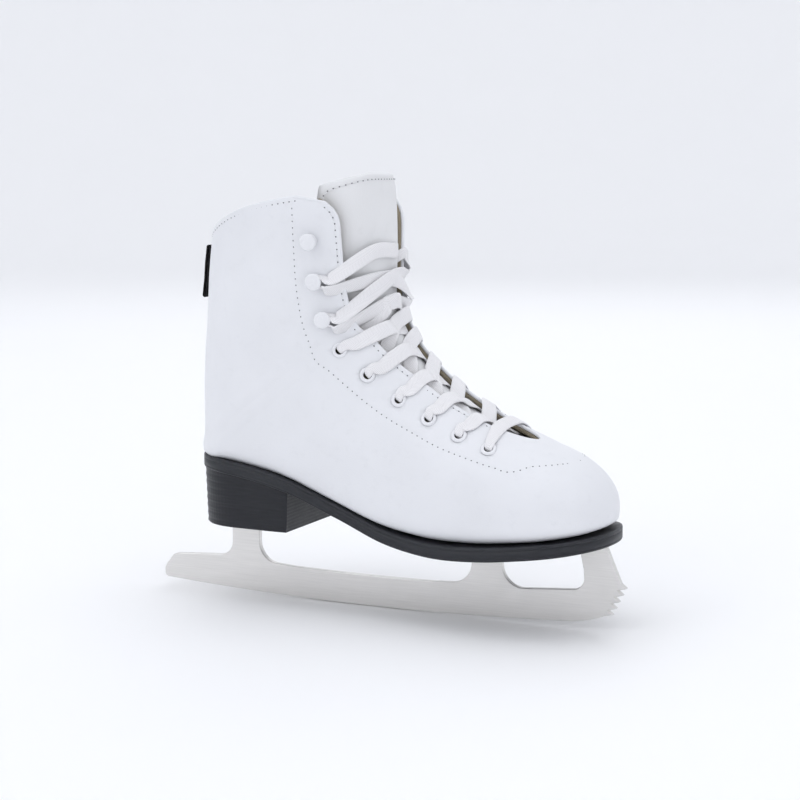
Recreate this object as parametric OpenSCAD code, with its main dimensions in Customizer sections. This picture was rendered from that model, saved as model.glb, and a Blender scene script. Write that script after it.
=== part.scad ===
// Figure skate: a laced boot on a moulded sole and heel, with a one-piece steel blade.
// The toe points to +X, the outer side of the foot to -Y, and the blade stands in the plane y = 0.
// The origin lies on the ice, under the middle of the blade.

/* [Last] */
// Length of the outsole, heel to toe
sole_len = 263; // [225:1:305]
// Width of the outsole across the ball of the foot
ball_w = 89; // [76:1:102]
// Height of the collar's front corner above the heel seat
shaft_h = 154; // [125:1:185]

/* [Upper] */
// Thickness of the outer leather
upper_t = 1.8; // [1.2:0.1:2.4]
// Thickness of the facing behind the eyelets
facing_t = 1; // [0.6:0.1:1.4]
// Thickness of the lining
lining_t = 0.8; // [0.5:0.1:1.2]
// Thickness of the foam around the ankle
padding_t = 3; // [2:0.1:4]
// Thickness of the toe puff and of the heel counter
stiffener_t = 1.2; // [0.8:0.1:1.4]
// Space between two layers of the boot
layer_gap = 0.3; // [0.2:0.05:0.5]
// Width of the strip that covers the back seam
backstay_w = 12; // [8:1:16]

/* [Tongue] */
// Thickness of the tongue's cover
tongue_t = 1.6; // [1.2:0.1:2.2]
// Thickness of the tongue's foam
tongue_pad_t = 3.2; // [2:0.1:4.5]
// Height of the tongue above the collar, in rows of the last
tongue_rise = 0.8; // [0.5:0.05:0.9]

/* [Sole] */
// Thickness of the outsole
sole_t = 8; // [7:0.5:11]
// Height of the heel block under the outsole
heel_h = 34.6; // [26:0.1:42]
// Length of the heel block
heel_len = 69; // [55:1:80]
// Thickness of the insole board
board_t = 1.5; // [1:0.1:1.8]
// Thickness of the loose footbed
footbed_t = 3.5; // [2:0.1:5]

/* [Blade] */
// Overall length of the blade
blade_len = 303; // [260:1:345]
// Thickness of the blade
blade_t = 3.9; // [3:0.1:5]
// Height of the heel block's underside above the ice
heel_lift = 46; // [40:0.5:54]
// Height of the outsole's underside above the ice, under the ball of the foot
ball_lift = 42; // [37:0.5:48]
// Depth of the runner under its windows
runner_h = 18.5; // [14:0.5:22]
// Radius of the rocker, the long curve of the runner
rocker_r = 2100; // [1600:50:2600]
// Width of each post between the runner and the boot
post_w = 19; // [14:0.5:24]
// Number of teeth on the toe pick
pick_count = 5; // [3:1:6]
// Thickness of the mounting plates
plate_t = 2; // [1.5:0.1:2.5]

/* [Hardware] */
// Number of eyelets on each side
eyelet_count = 6; // [4:1:7]
// Radius of the hole in an eyelet
eyelet_r = 2.4; // [2:0.1:3]
// Width of an eyelet's rim
eyelet_rim = 2.2; // [1.4:0.1:2.6]
// Number of hooks on each side
hook_count = 3; // [2:1:3]
// Radius of a hook's cap
hook_r = 5; // [4:0.1:6]
// Height of a hook's neck
hook_neck_h = 3.4; // [2.8:0.1:4.5]
// Radius of the mounting screws
screw_r = 2; // [1.5:0.1:2.5]

/* [Lace and loop] */
// Width of the lace where it is drawn together
lace_w = 4.2; // [3:0.1:4.4]
// Thickness of the lace
lace_t = 1.8; // [1.2:0.1:2]
// Width of the pull loop's webbing
loop_w = 13; // [8:1:20]
// Height of the pull loop
loop_h = 32; // [24:1:40]

/* [Hidden] */

// Clearance around a part that sits in a recess
fit = 0.15;
// A distance used only to carry a cut past a face
past = 1;

// ---- the last: one smooth surface that every layer of the boot follows ----
// The shape is drawn at these sizes and stretched to the ones above.
drawn_len = 263;
drawn_w = 89;
drawn_shaft = 154;
kx = sole_len / drawn_len;
ky = ball_w / drawn_w;

// Top of the outsole under the ball and at the heel seat
ball_top = ball_lift + sole_t;
seat_top = heel_lift + heel_h + sole_t;
sole_back = -117.5 * kx;
sole_front = sole_back + sole_len;

// Share of the heel's rise at even steps from heel to toe
sole_shares = [1, 0.93, 0.757, 0.43, 0.114, 0, 0.025, 0.127, 0.245];
function spline(list, t) =
    let (
        n = len(list) - 1,
        i = min(max(floor(t), 0), n - 1),
        f = t - i,
        b = list[i],
        c = list[i + 1],
        a = i > 0 ? list[i - 1] : 2 * b - c,
        d = i + 2 <= n ? list[i + 2] : 2 * c - b
    )
    0.5 * (2 * b + (c - a) * f + (2 * a - 5 * b + 4 * c - d) * pow(f, 2)
        + (3 * b - a - 3 * c + d) * pow(f, 3));
function sole_z(x) =
    let (share = spline(sole_shares, (x - sole_back) / sole_len * (len(sole_shares) - 1)))
    ball_top + (seat_top - ball_top) * share;

// Each station is a flat cut through the boot, from its front to its back or underside:
// front x, front height over the ball, back x, back height over the sole line,
// share of the cut where it is widest, lateral and medial half widths, roundness in front and behind
stations = [
    [104, 55.5, 104, 0, 0.34, 42.5, 43.5, 2.3, 6],
    [78, 67, 78, 0, 0.32, 43, 45, 2.2, 6],
    [53, 82, 50, 0, 0.29, 41, 42, 2, 6],
    [35.5, 96.5, 20, 0, 0.28, 37, 36, 2, 6],
    [23.5, 109.5, -14, -1.5, 0.29, 33.5, 32, 2.1, 6],
    [17.5, 119, -50, -2.5, 0.32, 34, 33, 2.3, 5],
    [14.5, 125.5, -88, -3, 0.36, 34.5, 34, 2.4, 4],
    [13.4, 131, -114, -3.5, 0.4, 35, 34.5, 2.4, 2.7],
    [12.8, 136.5, -117.3, 17, 0.44, 35, 35, 2.4, 2.15],
    [12, 144, -118.5, 46.5, 0.47, 35.5, 35.5, 2.5, 2],
    [11.5, 157, -116, 81.5, 0.5, 37.5, 37.5, 2.6, 1.9],
    [10, 175, -113.5, 110.5, 0.52, 40.5, 40.5, 2.8, 1.9],
    [8, 192, -111, 129.5, 0.52, 42.5, 42.5, 3, 1.9],
    [6, 213, -110.5, 150.5, 0.52, 43.5, 43.5, 3, 1.9]
];
// Row of the collar, height that its sides rise, and the first row that they rise from
collar = 12;
collar_lift = 12;
lift_from = 8;
// The toe closes along a round cap from row 0 to row -1
toe_gap = 2;
toe_x = sole_front - toe_gap;
toe_z = 20;
toe_slope = 0.33;
tip_row = -0.93;

// A height keeps its drawn value up to the ankle and stretches with the shaft above it
front_ankle = 120;
front_collar = 192;
back_ankle = 46.5;
back_collar = 129.5;
drawn_rise = 38.6;
function stretched(h, ankle, top) =
    min(h, ankle) + max(h - ankle, 0) * (top - ankle + shaft_h - drawn_shaft) / (top - ankle);
function front_z(h) =
    ball_top + stretched(h, front_ankle, front_collar)
    + (seat_top - ball_top - drawn_rise) * min(1, h / front_ankle);
function body_row(t) =
    let (s = spline(stations, t), back = s[2] * kx)
    [
        s[0] * kx, front_z(s[1]), back, sole_z(back) + stretched(s[3], back_ankle, back_collar),
        s[4], s[5] * ky, s[6] * ky, s[7], s[8]
    ];
function toe_row(t) =
    let (
        r = body_row(0),
        c = pow(cos(90 * (1 + t)), 0.95),
        s = sin(90 * (1 + t)),
        reach = toe_x - r[0],
        x = r[0] + reach * c,
        tip = ball_top + toe_z,
        rise = toe_slope * reach,
        k = pow(s, 0.93)
    )
    [
        x, tip + rise + (r[1] - tip - rise) * s - toe_slope * (x - r[0]),
        x, tip + (sole_z(x) - tip) * pow(s, 0.3),
        r[4] + (0.5 - r[4]) * (1 - s), r[5] * k, r[6] * k, r[7], r[8] + (2.2 - r[8]) * pow(1 - s, 2)
    ];
function row(t) = t < 0 ? toe_row(t) : body_row(t);

// A point of the last: angle 0 is the front, 90 the lateral side, 180 the back, 270 the medial side
function surf(t, a) =
    let (
        r = row(t),
        c = cos(a),
        s = sin(a),
        n = c >= 0 ? r[7] : r[8],
        q = pow(abs(c), 2 / n),
        share = c >= 0 ? r[4] + (1 - r[4]) * q : r[4] * (1 - q),
        w = (s >= 0 ? -r[5] : r[6]) * pow(abs(s), 2 / n),
        x = r[2] + (r[0] - r[2]) * share,
        rise = pow(clamped((t - lift_from) / (collar - lift_from)), 2),
        lift = collar_lift * rise * (1 - pow(1 - share, 6)) * (1 - pow(share, 5)),
        z = r[3] + (r[1] - r[3]) * share + lift
    )
    [x, w, max(z, sole_z(x))];
function normal(t, a) =
    let (
        dt = 0.03,
        da = 1.5,
        n = cross(surf(t + dt, a) - surf(t - dt, a), surf(t, a + da) - surf(t, a - da))
    )
    n / norm(n);
// A point below the last's surface by the given depth
function under(t, a, depth) = surf(t, a) - depth * normal(t, a);

// ---- layers, each a depth below the last's surface ----
inner_from = upper_t + layer_gap;
lining_out = inner_from + max(facing_t, stiffener_t, board_t) + layer_gap;
lining_swollen = inner_from + padding_t + layer_gap;
quarter_in = lining_out + lining_t;
lace_room = 2.4;
tongue_out = quarter_in + lace_room;
tongue_in = tongue_out + tongue_t;

// Angles of the throat at rows 0 to 12: its edge, the eyelets and hooks, and the stitch line on the
// lateral side, and how much nearer to the front they all lie on the medial side
throat_row = 0.2;
edge_angles = [18, 20.5, 25, 29, 34, 37.5, 38.5, 42, 46.5, 51, 55, 57, 58];
hole_angles = [42, 43.5, 45.3, 47.5, 52, 54.5, 54.5, 57, 61, 66, 72, 76, 78];
seam_angles = [56, 58, 58.5, 59, 62, 64, 64, 66, 70, 75.5, 81.5, 84.5, 85];
swing_angles = [0, 4.5, 8, 11, 14, 15.5, 15.5, 18, 19.5, 20, 18, 17, 14];
function swing(t, side) = side < 0 ? spline(swing_angles, t) : 0;
throat_close = 1.3;
function throat_end(t) = let (q = clamped((t - throat_row) / throat_close)) sqrt(1 - pow(1 - q, 2));
// The collar's front corner is rounded over the last rows
corner_row = 11.2;
corner_turn = 25;
function corner(t) =
    let (q = clamped((t - corner_row) / (collar - corner_row)))
    corner_turn * (1 - sqrt(1 - q * q));
function throat_edge(t, side) = (spline(edge_angles, t) - swing(t, side)) * throat_end(t) + corner(t);
function hole_line(t, side) = spline(hole_angles, t) - swing(t, side);
function stitch_line(t, side) = spline(seam_angles, t) - swing(t, side);
// Angle of the middle of the throat
function middle(t) = spline(swing_angles, min(t, collar)) / 2;

function clamped(q) = min(1, max(0, q));
// The foam swells the lining inwards behind the stitch line, between these rows
pad_low = 9.2;
pad_high = 11.7;
pad_fade = 8;
function pad_share(t) = clamped((t - pad_low) * 1.4) * clamped((pad_high - t) * 1.4);
pad_lead = 4;
function pad_side(t, a) =
    clamped((180 - abs(180 - a) - stitch_line(t, a < 180 ? 1 : -1) - pad_lead) / pad_fade);
function lining_depth(t, a) =
    lining_out + max(0, lining_swollen - lining_out) * pad_share(t) * pad_side(t, a);

// Closed skin between an outer and an inner grid. shut is the last row whose two sides meet, and
// cap closes the first row with a round end.
function grid(ts, cols, angle, depth) =
    [for (t = ts) for (j = [0:cols]) let (a = angle(t, j / cols)) under(t, a, depth(t, a))];
function mean(points) = [for (p = points) 1] * points / len(points);
module skin(ts, cols, angle, outer, inner, shut = -1, cap = false) {
    rows = len(ts);
    wide = cols + 1;
    out_pts = grid(ts, cols, angle, outer);
    in_pts = grid(ts, cols, angle, inner);
    total = rows * wide;
    tips = cap
        ? [mean([for (j = [0:cols - 1]) out_pts[j]]), mean([for (j = [0:cols - 1]) in_pts[j]])]
        : [];
    function o(i, j) = i * wide + (i <= shut && j == cols ? 0 : j);
    function n(i, j) = total + o(i, j);
    quads = concat(
        [for (i = [0:rows - 2]) for (j = [0:cols - 1])
            [o(i, j), o(i, j + 1), o(i + 1, j + 1), o(i + 1, j)]],
        [for (i = [0:rows - 2]) for (j = [0:cols - 1])
            [n(i, j), n(i + 1, j), n(i + 1, j + 1), n(i, j + 1)]],
        [for (j = [0:cols - 1]) [o(rows - 1, j), o(rows - 1, j + 1), n(rows - 1, j + 1), n(rows - 1, j)]],
        cap ? [] : [for (j = [0:cols - 1]) [o(0, j + 1), o(0, j), n(0, j), n(0, j + 1)]],
        [for (i = [max(0, shut):rows - 2]) [o(i, 0), o(i + 1, 0), n(i + 1, 0), n(i, 0)]],
        [for (i = [max(0, shut):rows - 2]) [o(i + 1, cols), o(i, cols), n(i, cols), n(i + 1, cols)]]
    );
    fans = cap
        ? concat(
            [for (j = [0:cols - 1]) [2 * total, o(0, j + 1), o(0, j)]],
            [for (j = [0:cols - 1]) [2 * total + 1, n(0, j), n(0, j + 1)]])
        : [];
    triangles = [for (q = quads) for (k = [0, 1]) k == 0 ? [q[0], q[1], q[2]] : [q[0], q[2], q[3]]];
    polyhedron(points = concat(out_pts, in_pts, tips), faces = concat(triangles, fans));
}
function steps(a, b, n) = [for (i = [0:n]) a + (b - a) * i / n];

// ---- fastenings along the throat ----
hole_rows = [0.95, 1.65, 2.5, 3.5, 4.75, 6.55, 8.7, 9.9, 10.85];
hole_total = eyelet_count + hook_count;
function hole_row(i) = spline(hole_rows, i * (len(hole_rows) - 1) / (hole_total - 1));
// side is 1 for the lateral side and -1 for the medial side
function hole_angle(i, side) = side * hole_line(hole_row(i), side);
barrel_t = 0.5;
eyelet_pass = eyelet_r + barrel_t + fit;
rivet_r = 1.5;

// Draws its children with +Z along the outward normal of the last
module on_last(t, a, depth = 0) {
    n = normal(t, a);
    translate(under(t, a, depth)) rotate([0, acos(n[2]), atan2(n[1], n[0])]) children();
}
module throat_holes(sides) {
    for (side = sides) {
        for (i = [0:hole_total - 1]) {
            on_last(hole_row(i), hole_angle(i, side), 2 * quarter_in)
                cylinder(r = i < eyelet_count ? eyelet_pass : rivet_r + fit, h = 3 * quarter_in, $fn = 24);
        }
    }
}

// ---- upper and its inner layers ----
toe_rows = steps(tip_row, 0, 7);
throat_rows = [for (i = [1:22]) throat_row + (corner_row - throat_row) * pow(i / 22, 1.15)];
corner_rows = [for (i = [1:5]) corner_row + (collar - corner_row) * sin(18 * i)];
skin_rows = concat(toe_rows, [throat_row], throat_rows, corner_rows);
shut_row = len(toe_rows);
function all_round(t, f) =
    let (
        a = t > throat_row ? throat_edge(t, 1) : 0,
        b = t > throat_row ? throat_edge(t, -1) : 0
    )
    a + (360 - a - b) * f;

module upper() {
    color("white") difference() {
        skin(skin_rows, 36, function(t, f) all_round(t, f), function(t, a) 0, function(t, a) upper_t,
            shut_row, true);
        throat_holes([1, -1]);
    }
}
lining_rows = [for (t = skin_rows) if (t > -0.8) min(t, collar - 0.05)];
module lining() {
    shut = len([for (t = lining_rows) if (t <= throat_row) t]) - 1;
    color("tan") difference() {
        skin(lining_rows, 26, function(t, f) all_round(t, f), function(t, a) lining_depth(t, a),
            function(t, a) lining_depth(t, a) + lining_t, shut, true);
        throat_holes([1, -1]);
    }
}
module ankle_padding() {
    lead = 9;
    color("lightyellow") skin(steps(pad_low, pad_high, 12), 18,
        function(t, f)
            let (a = stitch_line(t, 1) + lead, b = stitch_line(t, -1) + lead)
            a + (360 - a - b) * f,
        function(t, a) inner_from, function(t, a) lining_depth(t, a) - 1.5 * layer_gap);
}
facing_margin = 1.5;
module eyestay(side) {
    rows = steps(throat_row + 0.5, collar - 0.3, 20);
    color("wheat") difference() {
        skin(rows, 3,
            function(t, f) let (
                lo = side * (throat_edge(t, side) + facing_margin),
                hi = side * (stitch_line(t, side) + facing_margin)
            ) side > 0 ? lo + (hi - lo) * f : hi + (lo - hi) * f,
            function(t, a) inner_from, function(t, a) inner_from + facing_t);
        throat_holes([side]);
    }
}
module eyestay_lateral() {
    eyestay(1);
}
module eyestay_medial() {
    eyestay(-1);
}
counter_low = 7.4;
module heel_counter() {
    reach = 62;
    color("burlywood") skin(steps(counter_low, pad_low - 0.1, 8), 14,
        function(t, f) 180 - reach + 2 * reach * f,
        function(t, a) inner_from, function(t, a) inner_from + stiffener_t);
}
puff_rows = [-0.82, 0.05];
module toe_puff() {
    reach = 70;
    color("burlywood") skin(steps(puff_rows[0], puff_rows[1], 6), 12, function(t, f) 2 * reach * f - reach,
        function(t, a) inner_from, function(t, a) inner_from + stiffener_t);
}
backstay_t = 0.6;
backstay_lift = 0.1;
backstay_low = 7.7;
// Length of one degree round the back
back_degree = 0.6 * ky;
module backstay() {
    reach = backstay_w / 2 / back_degree;
    color("gainsboro") skin(steps(backstay_low, collar - 0.1, 14), 4,
        function(t, f) 180 - reach + 2 * reach * f,
        function(t, a) -backstay_lift - backstay_t, function(t, a) -backstay_lift);
}
// A flattened ring of webbing that stands on the backstay
webbing_t = 0.9;
loop_gap = 0.6;
loop_rest = 0.15;
loop_row = 10.95;
module stadium(h, r) {
    square([2 * r, h - 2 * r], center = true);
    for (side = [-1, 1]) translate([0, side * (h / 2 - r)]) circle(r = r, $fn = 24);
}
module pull_loop() {
    r = webbing_t + loop_gap / 2;
    color("black") on_last(loop_row, 180, -backstay_lift - backstay_t - r - loop_rest)
        rotate([90, 0, 0]) linear_extrude(height = loop_w, center = true)
        rotate(90) difference() {
            stadium(loop_h, r);
            stadium(loop_h - 2 * webbing_t, loop_gap / 2);
        }
}

// ---- tongue ----
// The flap above the collar bends about the fold; the rest stays under the lace
fold_row = 12.12;
fold_gap = 0.04;
tongue_root = throat_row - 0.35;
tongue_tip = collar + tongue_rise;
tongue_angles = [30, 32, 34, 37, 40, 42, 43, 46, 51, 56, 61, 65, 67, 58];
function tongue_half(t) =
    spline(tongue_angles, t) * sqrt(clamped((t - tongue_root + 0.25) / 0.8))
    * (t > fold_row ? sqrt(1 - 0.75 * pow((t - fold_row) / (tongue_tip - fold_row), 3)) : 1);
module tongue_layer(rows, depth, thick, narrower = 0) {
    skin(rows, 12, function(t, f) middle(t) + (2 * f - 1) * (tongue_half(t) - narrower),
        function(t, a) depth, function(t, a) depth + thick);
}
base_rows = steps(tongue_root, fold_row - fold_gap, 26);
flap_rows = steps(fold_row + fold_gap, tongue_tip, 7);
foam_margin = 3;
module tongue_cover() {
    color("white") tongue_layer(base_rows, tongue_out, tongue_t);
}
module tongue_padding() {
    color("lightyellow") tongue_layer(base_rows, tongue_in + layer_gap, tongue_pad_t, foam_margin);
}
module tongue_flap() {
    color("white") tongue_layer(flap_rows, tongue_out, tongue_t);
}
module tongue_flap_padding() {
    color("lightyellow")
        tongue_layer(steps(fold_row + fold_gap, tongue_tip - 0.08, 6), tongue_in + layer_gap, tongue_pad_t,
            foam_margin);
}

// ---- sole ----
// Half widths of the outsole at even steps from the heel's round back to the toe cap
heel_round_x = -84 * kx;
cap_x = 104 * kx;
lateral_widths = [31, 32, 31, 31.5, 36, 42, 44.5, 44];
medial_widths = [31, 31.5, 30, 30, 34.5, 41.5, 44.5, 44.5];
cap_power = 2.1;
heel_power = 2.15;
function end_round(q, power) = pow(1 - pow(clamped(q), power), 1 / power);
function plan_w(x, side) =
    let (
        widths = side > 0 ? lateral_widths : medial_widths,
        w = spline(widths, clamped((x - heel_round_x) / (cap_x - heel_round_x)) * (len(widths) - 1)),
        back = end_round((heel_round_x - x) / (heel_round_x - sole_back), heel_power),
        front = end_round((x - cap_x) / (sole_front - cap_x), cap_power)
    )
    w * ky * back * front;
plan_xs = concat(
    [for (i = [0:8]) heel_round_x + (sole_back - heel_round_x) * cos(90 * i / 9)],
    steps(heel_round_x, cap_x, 14),
    [for (i = [1:10]) cap_x + (sole_front - cap_x) * sin(90 * i / 10)]
);
// The outsole's outline, drawn in by an inset
function inset_x(x, inset) = let (mid = (sole_back + sole_front) / 2, half = sole_len / 2)
    mid + (x - mid) * (half - inset) / half;
function plan(inset) = concat(
    [for (x = plan_xs) [inset_x(x, inset), -plan_w(x, 1) * (1 - inset / (ball_w / 2))]],
    [for (i = [len(plan_xs) - 2:-1:1]) let (x = plan_xs[i])
        [inset_x(x, inset), plan_w(x, -1) * (1 - inset / (ball_w / 2))]]
);
// A board of the outsole's outline, between two heights over the sole line
module board(low, high, inset, x0 = sole_back, x1 = sole_front, width = 2 * ball_w) {
    n = 40;
    lower = [for (x = steps(x0 - past, x1 + past, n)) [x, sole_z(x) + low]];
    upper = [for (x = steps(x0 - past, x1 + past, n)) [x, sole_z(x) + high]];
    intersection() {
        linear_extrude(height = 2 * seat_top) polygon(plan(inset));
        rotate([90, 0, 0]) linear_extrude(height = 2 * ball_w, center = true)
            polygon(concat(lower, [for (i = [n:-1:0]) upper[i]]));
        translate([x0, -width / 2, 0]) cube([x1 - x0, width, 2 * seat_top]);
    }
}
// A layer that lies on the underside of the last, and is narrower than it by a share of its width
board_back = 6.8;
board_front = -0.62;
function board_reach(t, share) =
    asin(pow(share, row(t)[8] / 2)) * sqrt(1 - 0.85 * pow(clamped(t - board_back + 1), 2));
module sole_layer(share, depth, thick) {
    color("burlywood") skin(steps(board_front, board_back, 30), 8,
        function(t, f) 180 + (2 * f - 1) * board_reach(t, share),
        function(t, a) depth, function(t, a) depth + thick);
}
module insole_board() {
    sole_layer(0.72, inner_from, board_t);
}
module footbed() {
    sole_layer(0.68, quarter_in + 2 * layer_gap, footbed_t);
}
shank_w = 16;
shank_t = 1.2;
shank_drop = 0.4;
// The shank lies between the heel's front screw and the ball
shank_lead = 4;
shank_front = 25 * kx;
function shank_back() = heel_plate_x + heel_plate_len + shank_lead;
module shank() {
    color("silver") board(-shank_drop - shank_t, -shank_drop, 0, shank_back(), shank_front, shank_w);
}

// ---- blade ----
blade_mid = blade_len / 2;
rocker_x = -10;
function rocker(x) = rocker_r - sqrt(pow(rocker_r, 2) - pow(x - rocker_x, 2));
function runner_top(x) = rocker(x) + runner_h;
function arc(x, z, r, a, b, n = 8) =
    [for (i = [0:n]) let (q = a + (b - a) * i / n) [x + r * cos(q), z + r * sin(q)]];
// The posts stand under the heel and under the ball; the pick's post carries the toe
rear_post = -102.5 * kx;
ball_post = 57.4 * kx;
toe_post = 122.5 * kx;
toe_post_w = 15;
rear_fillet = 9;
window_fillet = 13;
toe_fillet = 7;
rear_tab = heel_lift + 12;
plate_low = -4.6;
tab_gap = 0.05;
function tab_top(x) = sole_z(x) + plate_low - tab_gap;
function tab_line(x, w) = [for (q = steps(x + w, x, 5)) [q, tab_top(q)]];
pick_top = [blade_mid, 25.8];
pick_base = [blade_mid - 7.6, 9.9];
pick_depth = 3.2;
// The runner curves up to the pick from here
sweep_x = pick_base[0] - 28;
sweep_rise = 5.6;
heel_of_pick = 4;
function tooth_tip(i) = pick_base + (pick_top - pick_base) * i / max(1, pick_count - 1);
module blade() {
    tail_back = -blade_mid;
    tail_top = runner_top(tail_back) - 3;
    rear_x1 = rear_post + post_w;
    ball_x1 = ball_post + post_w;
    runner = [for (x = steps(tail_back + 2, sweep_x, 24)) [x, rocker(x)]];
    sweep_end = pick_base[0] - heel_of_pick;
    sweep = [
        for (q = steps(0.25, 1, 4))
            [sweep_x + (sweep_end - sweep_x) * q, rocker(sweep_x) + sweep_rise * pow(q, 1.8)]
    ];
    teeth = [for (i = [0:pick_count - 1]) for (k = [0, 1])
        k == 0 ? tooth_tip(i) : tooth_tip(i) + [-pick_depth, 2.6]];
    front_window = concat(
        [[toe_post + 3.6, runner_top(toe_post) + toe_fillet + 5]],
        arc(toe_post - 3, runner_top(toe_post) + toe_fillet, toe_fillet, 0, -90),
        arc(ball_x1 + window_fillet, runner_top(ball_x1) + window_fillet, window_fillet, 270, 180)
    );
    mid_window = concat(
        arc(ball_post - window_fillet, runner_top(ball_post) + window_fillet, window_fillet, 0, -90),
        [for (x = steps(ball_post - 2 * window_fillet, rear_x1 + 2 * window_fillet, 8)) [x, runner_top(x)]],
        arc(rear_x1 + window_fillet, runner_top(rear_x1) + window_fillet, window_fillet, 270, 180)
    );
    rear_top = [[rear_x1, rear_tab - tab_gap], [rear_post, rear_tab - tab_gap]];
    tail = concat(
        arc(rear_post - rear_fillet, tail_top + 2 + rear_fillet, rear_fillet, 0, -90),
        [
            [tail_back + 9, tail_top], [tail_back + 4, tail_top - 4],
            [tail_back, tail_top - 10], [tail_back, rocker(tail_back) + 2]
        ]
    );
    color("silver") rotate([90, 0, 0]) linear_extrude(height = blade_t, center = true)
        polygon(concat(
            runner, sweep, teeth, tab_line(toe_post, toe_post_w), front_window,
            tab_line(ball_post, post_w), mid_window, rear_top, tail
        ));
}
// ---- mounting plates and screws ----
plate_w = 26;
plate_x = [48 * kx, 136 * kx];
module sole_plate() {
    color("silver") difference() {
        board(plate_low, plate_low + plate_t, 0, plate_x[0], plate_x[1], plate_w);
        sole_screw_shanks(screw_r);
    }
}
heel_plate_len = 40;
heel_plate_lead = 7.5;
heel_plate_x = rear_post - heel_plate_lead;
module heel_plate() {
    color("silver") difference() {
        translate([heel_plate_x, -plate_w / 2, rear_tab]) cube([heel_plate_len, plate_w, plate_t]);
        heel_screw_shanks(screw_r);
    }
}
// Screws go down from recesses in the top of the outsole
screw_head_r = 2 * screw_r;
screw_head_h = 1.6;
sole_screw_xs = [62 * kx, 96 * kx, 128 * kx];
sole_screw_y = 8;
heel_screw_spots = [[heel_plate_x + 6, -7], [heel_plate_x + 6, 7], [heel_plate_x + heel_plate_len - 6, 0]];
function sole_screw_spots() = [for (x = sole_screw_xs) for (y = [-sole_screw_y, sole_screw_y]) [x, y]];
head_top = -0.8;
module screw(x, y, low, grow = 0) {
    top = sole_z(x) + head_top;
    translate([x, y, low]) cylinder(r = screw_r + grow, h = top - low - screw_head_h / 2, $fn = 24);
    translate([x, y, top - screw_head_h - grow])
        cylinder(r = screw_head_r + grow, h = screw_head_h + (grow > 0 ? 3 : 0), $fn = 32);
}
screw_tip = 1.2;
module sole_screw_shanks(r) {
    for (s = sole_screw_spots()) {
        translate([s[0], s[1], sole_z(s[0]) - sole_t]) cylinder(r = r + fit / 3, h = sole_t, $fn = 24);
    }
}
module heel_screw_shanks(r) {
    for (s = heel_screw_spots) {
        translate([s[0], s[1], rear_tab - past])
            cylinder(r = r + fit / 3, h = plate_t + 2 * past, $fn = 24);
    }
}
module sole_screws() {
    color("dimgray") for (s = sole_screw_spots()) screw(s[0], s[1], sole_z(s[0]) + plate_low - screw_tip);
}
module heel_screws() {
    color("dimgray") for (s = heel_screw_spots) screw(s[0], s[1], rear_tab - screw_tip);
}
module post_slot(x, w, low, high) {
    translate([x - fit, -blade_t / 2 - fit, low]) cube([w + 2 * fit, blade_t + 2 * fit, high - low]);
}
seat_gap = 0.1;
// The toe post leans forward where it leaves the sole
toe_lean = 2.5;
function slot_top(x, w) = max(sole_z(x), sole_z(x + w)) + plate_low + fit;
module outsole() {
    color([0.14, 0.14, 0.15]) difference() {
        board(-sole_t, -seat_gap, 0);
        board(plate_low - fit, plate_low + plate_t + fit, 0, plate_x[0] - fit, plate_x[1] + fit,
            plate_w + 2 * fit);
        board(-shank_drop - shank_t - fit, past, 0, shank_back() - fit, shank_front + fit,
            shank_w + 2 * fit);
        post_slot(ball_post, post_w, ball_lift - 10, slot_top(ball_post, post_w));
        post_slot(toe_post, toe_post_w + toe_lean, ball_lift - 10, slot_top(toe_post, toe_post_w));
        for (s = sole_screw_spots()) screw(s[0], s[1], sole_z(s[0]) + plate_low - screw_tip - fit, fit);
        for (s = heel_screw_spots) screw(s[0], s[1], heel_lift, fit);
    }
}
heel_inset = 0.8;
heel_front = sole_back + heel_len;
module heel_block() {
    color([0.12, 0.12, 0.13]) difference() {
        intersection() {
            linear_extrude(height = seat_top) polygon(plan(heel_inset));
            rotate([90, 0, 0]) linear_extrude(height = 2 * ball_w, center = true) polygon(concat(
                [[sole_back, heel_lift], [heel_front - 2, heel_lift]],
                [for (i = [8:-1:0]) let (x = sole_back + heel_len * i / 8) [x, sole_z(x) - sole_t - 0.05]]
            ));
        }
        post_slot(rear_post, post_w, heel_lift - past, rear_tab + fit);
        translate([heel_plate_x - fit, -plate_w / 2 - fit, rear_tab - fit])
            cube([heel_plate_len + 2 * fit, plate_w + 2 * fit, plate_t + 2 * fit]);
        for (s = heel_screw_spots) screw(s[0], s[1], rear_tab - screw_tip - fit, fit);
    }
}

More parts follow.
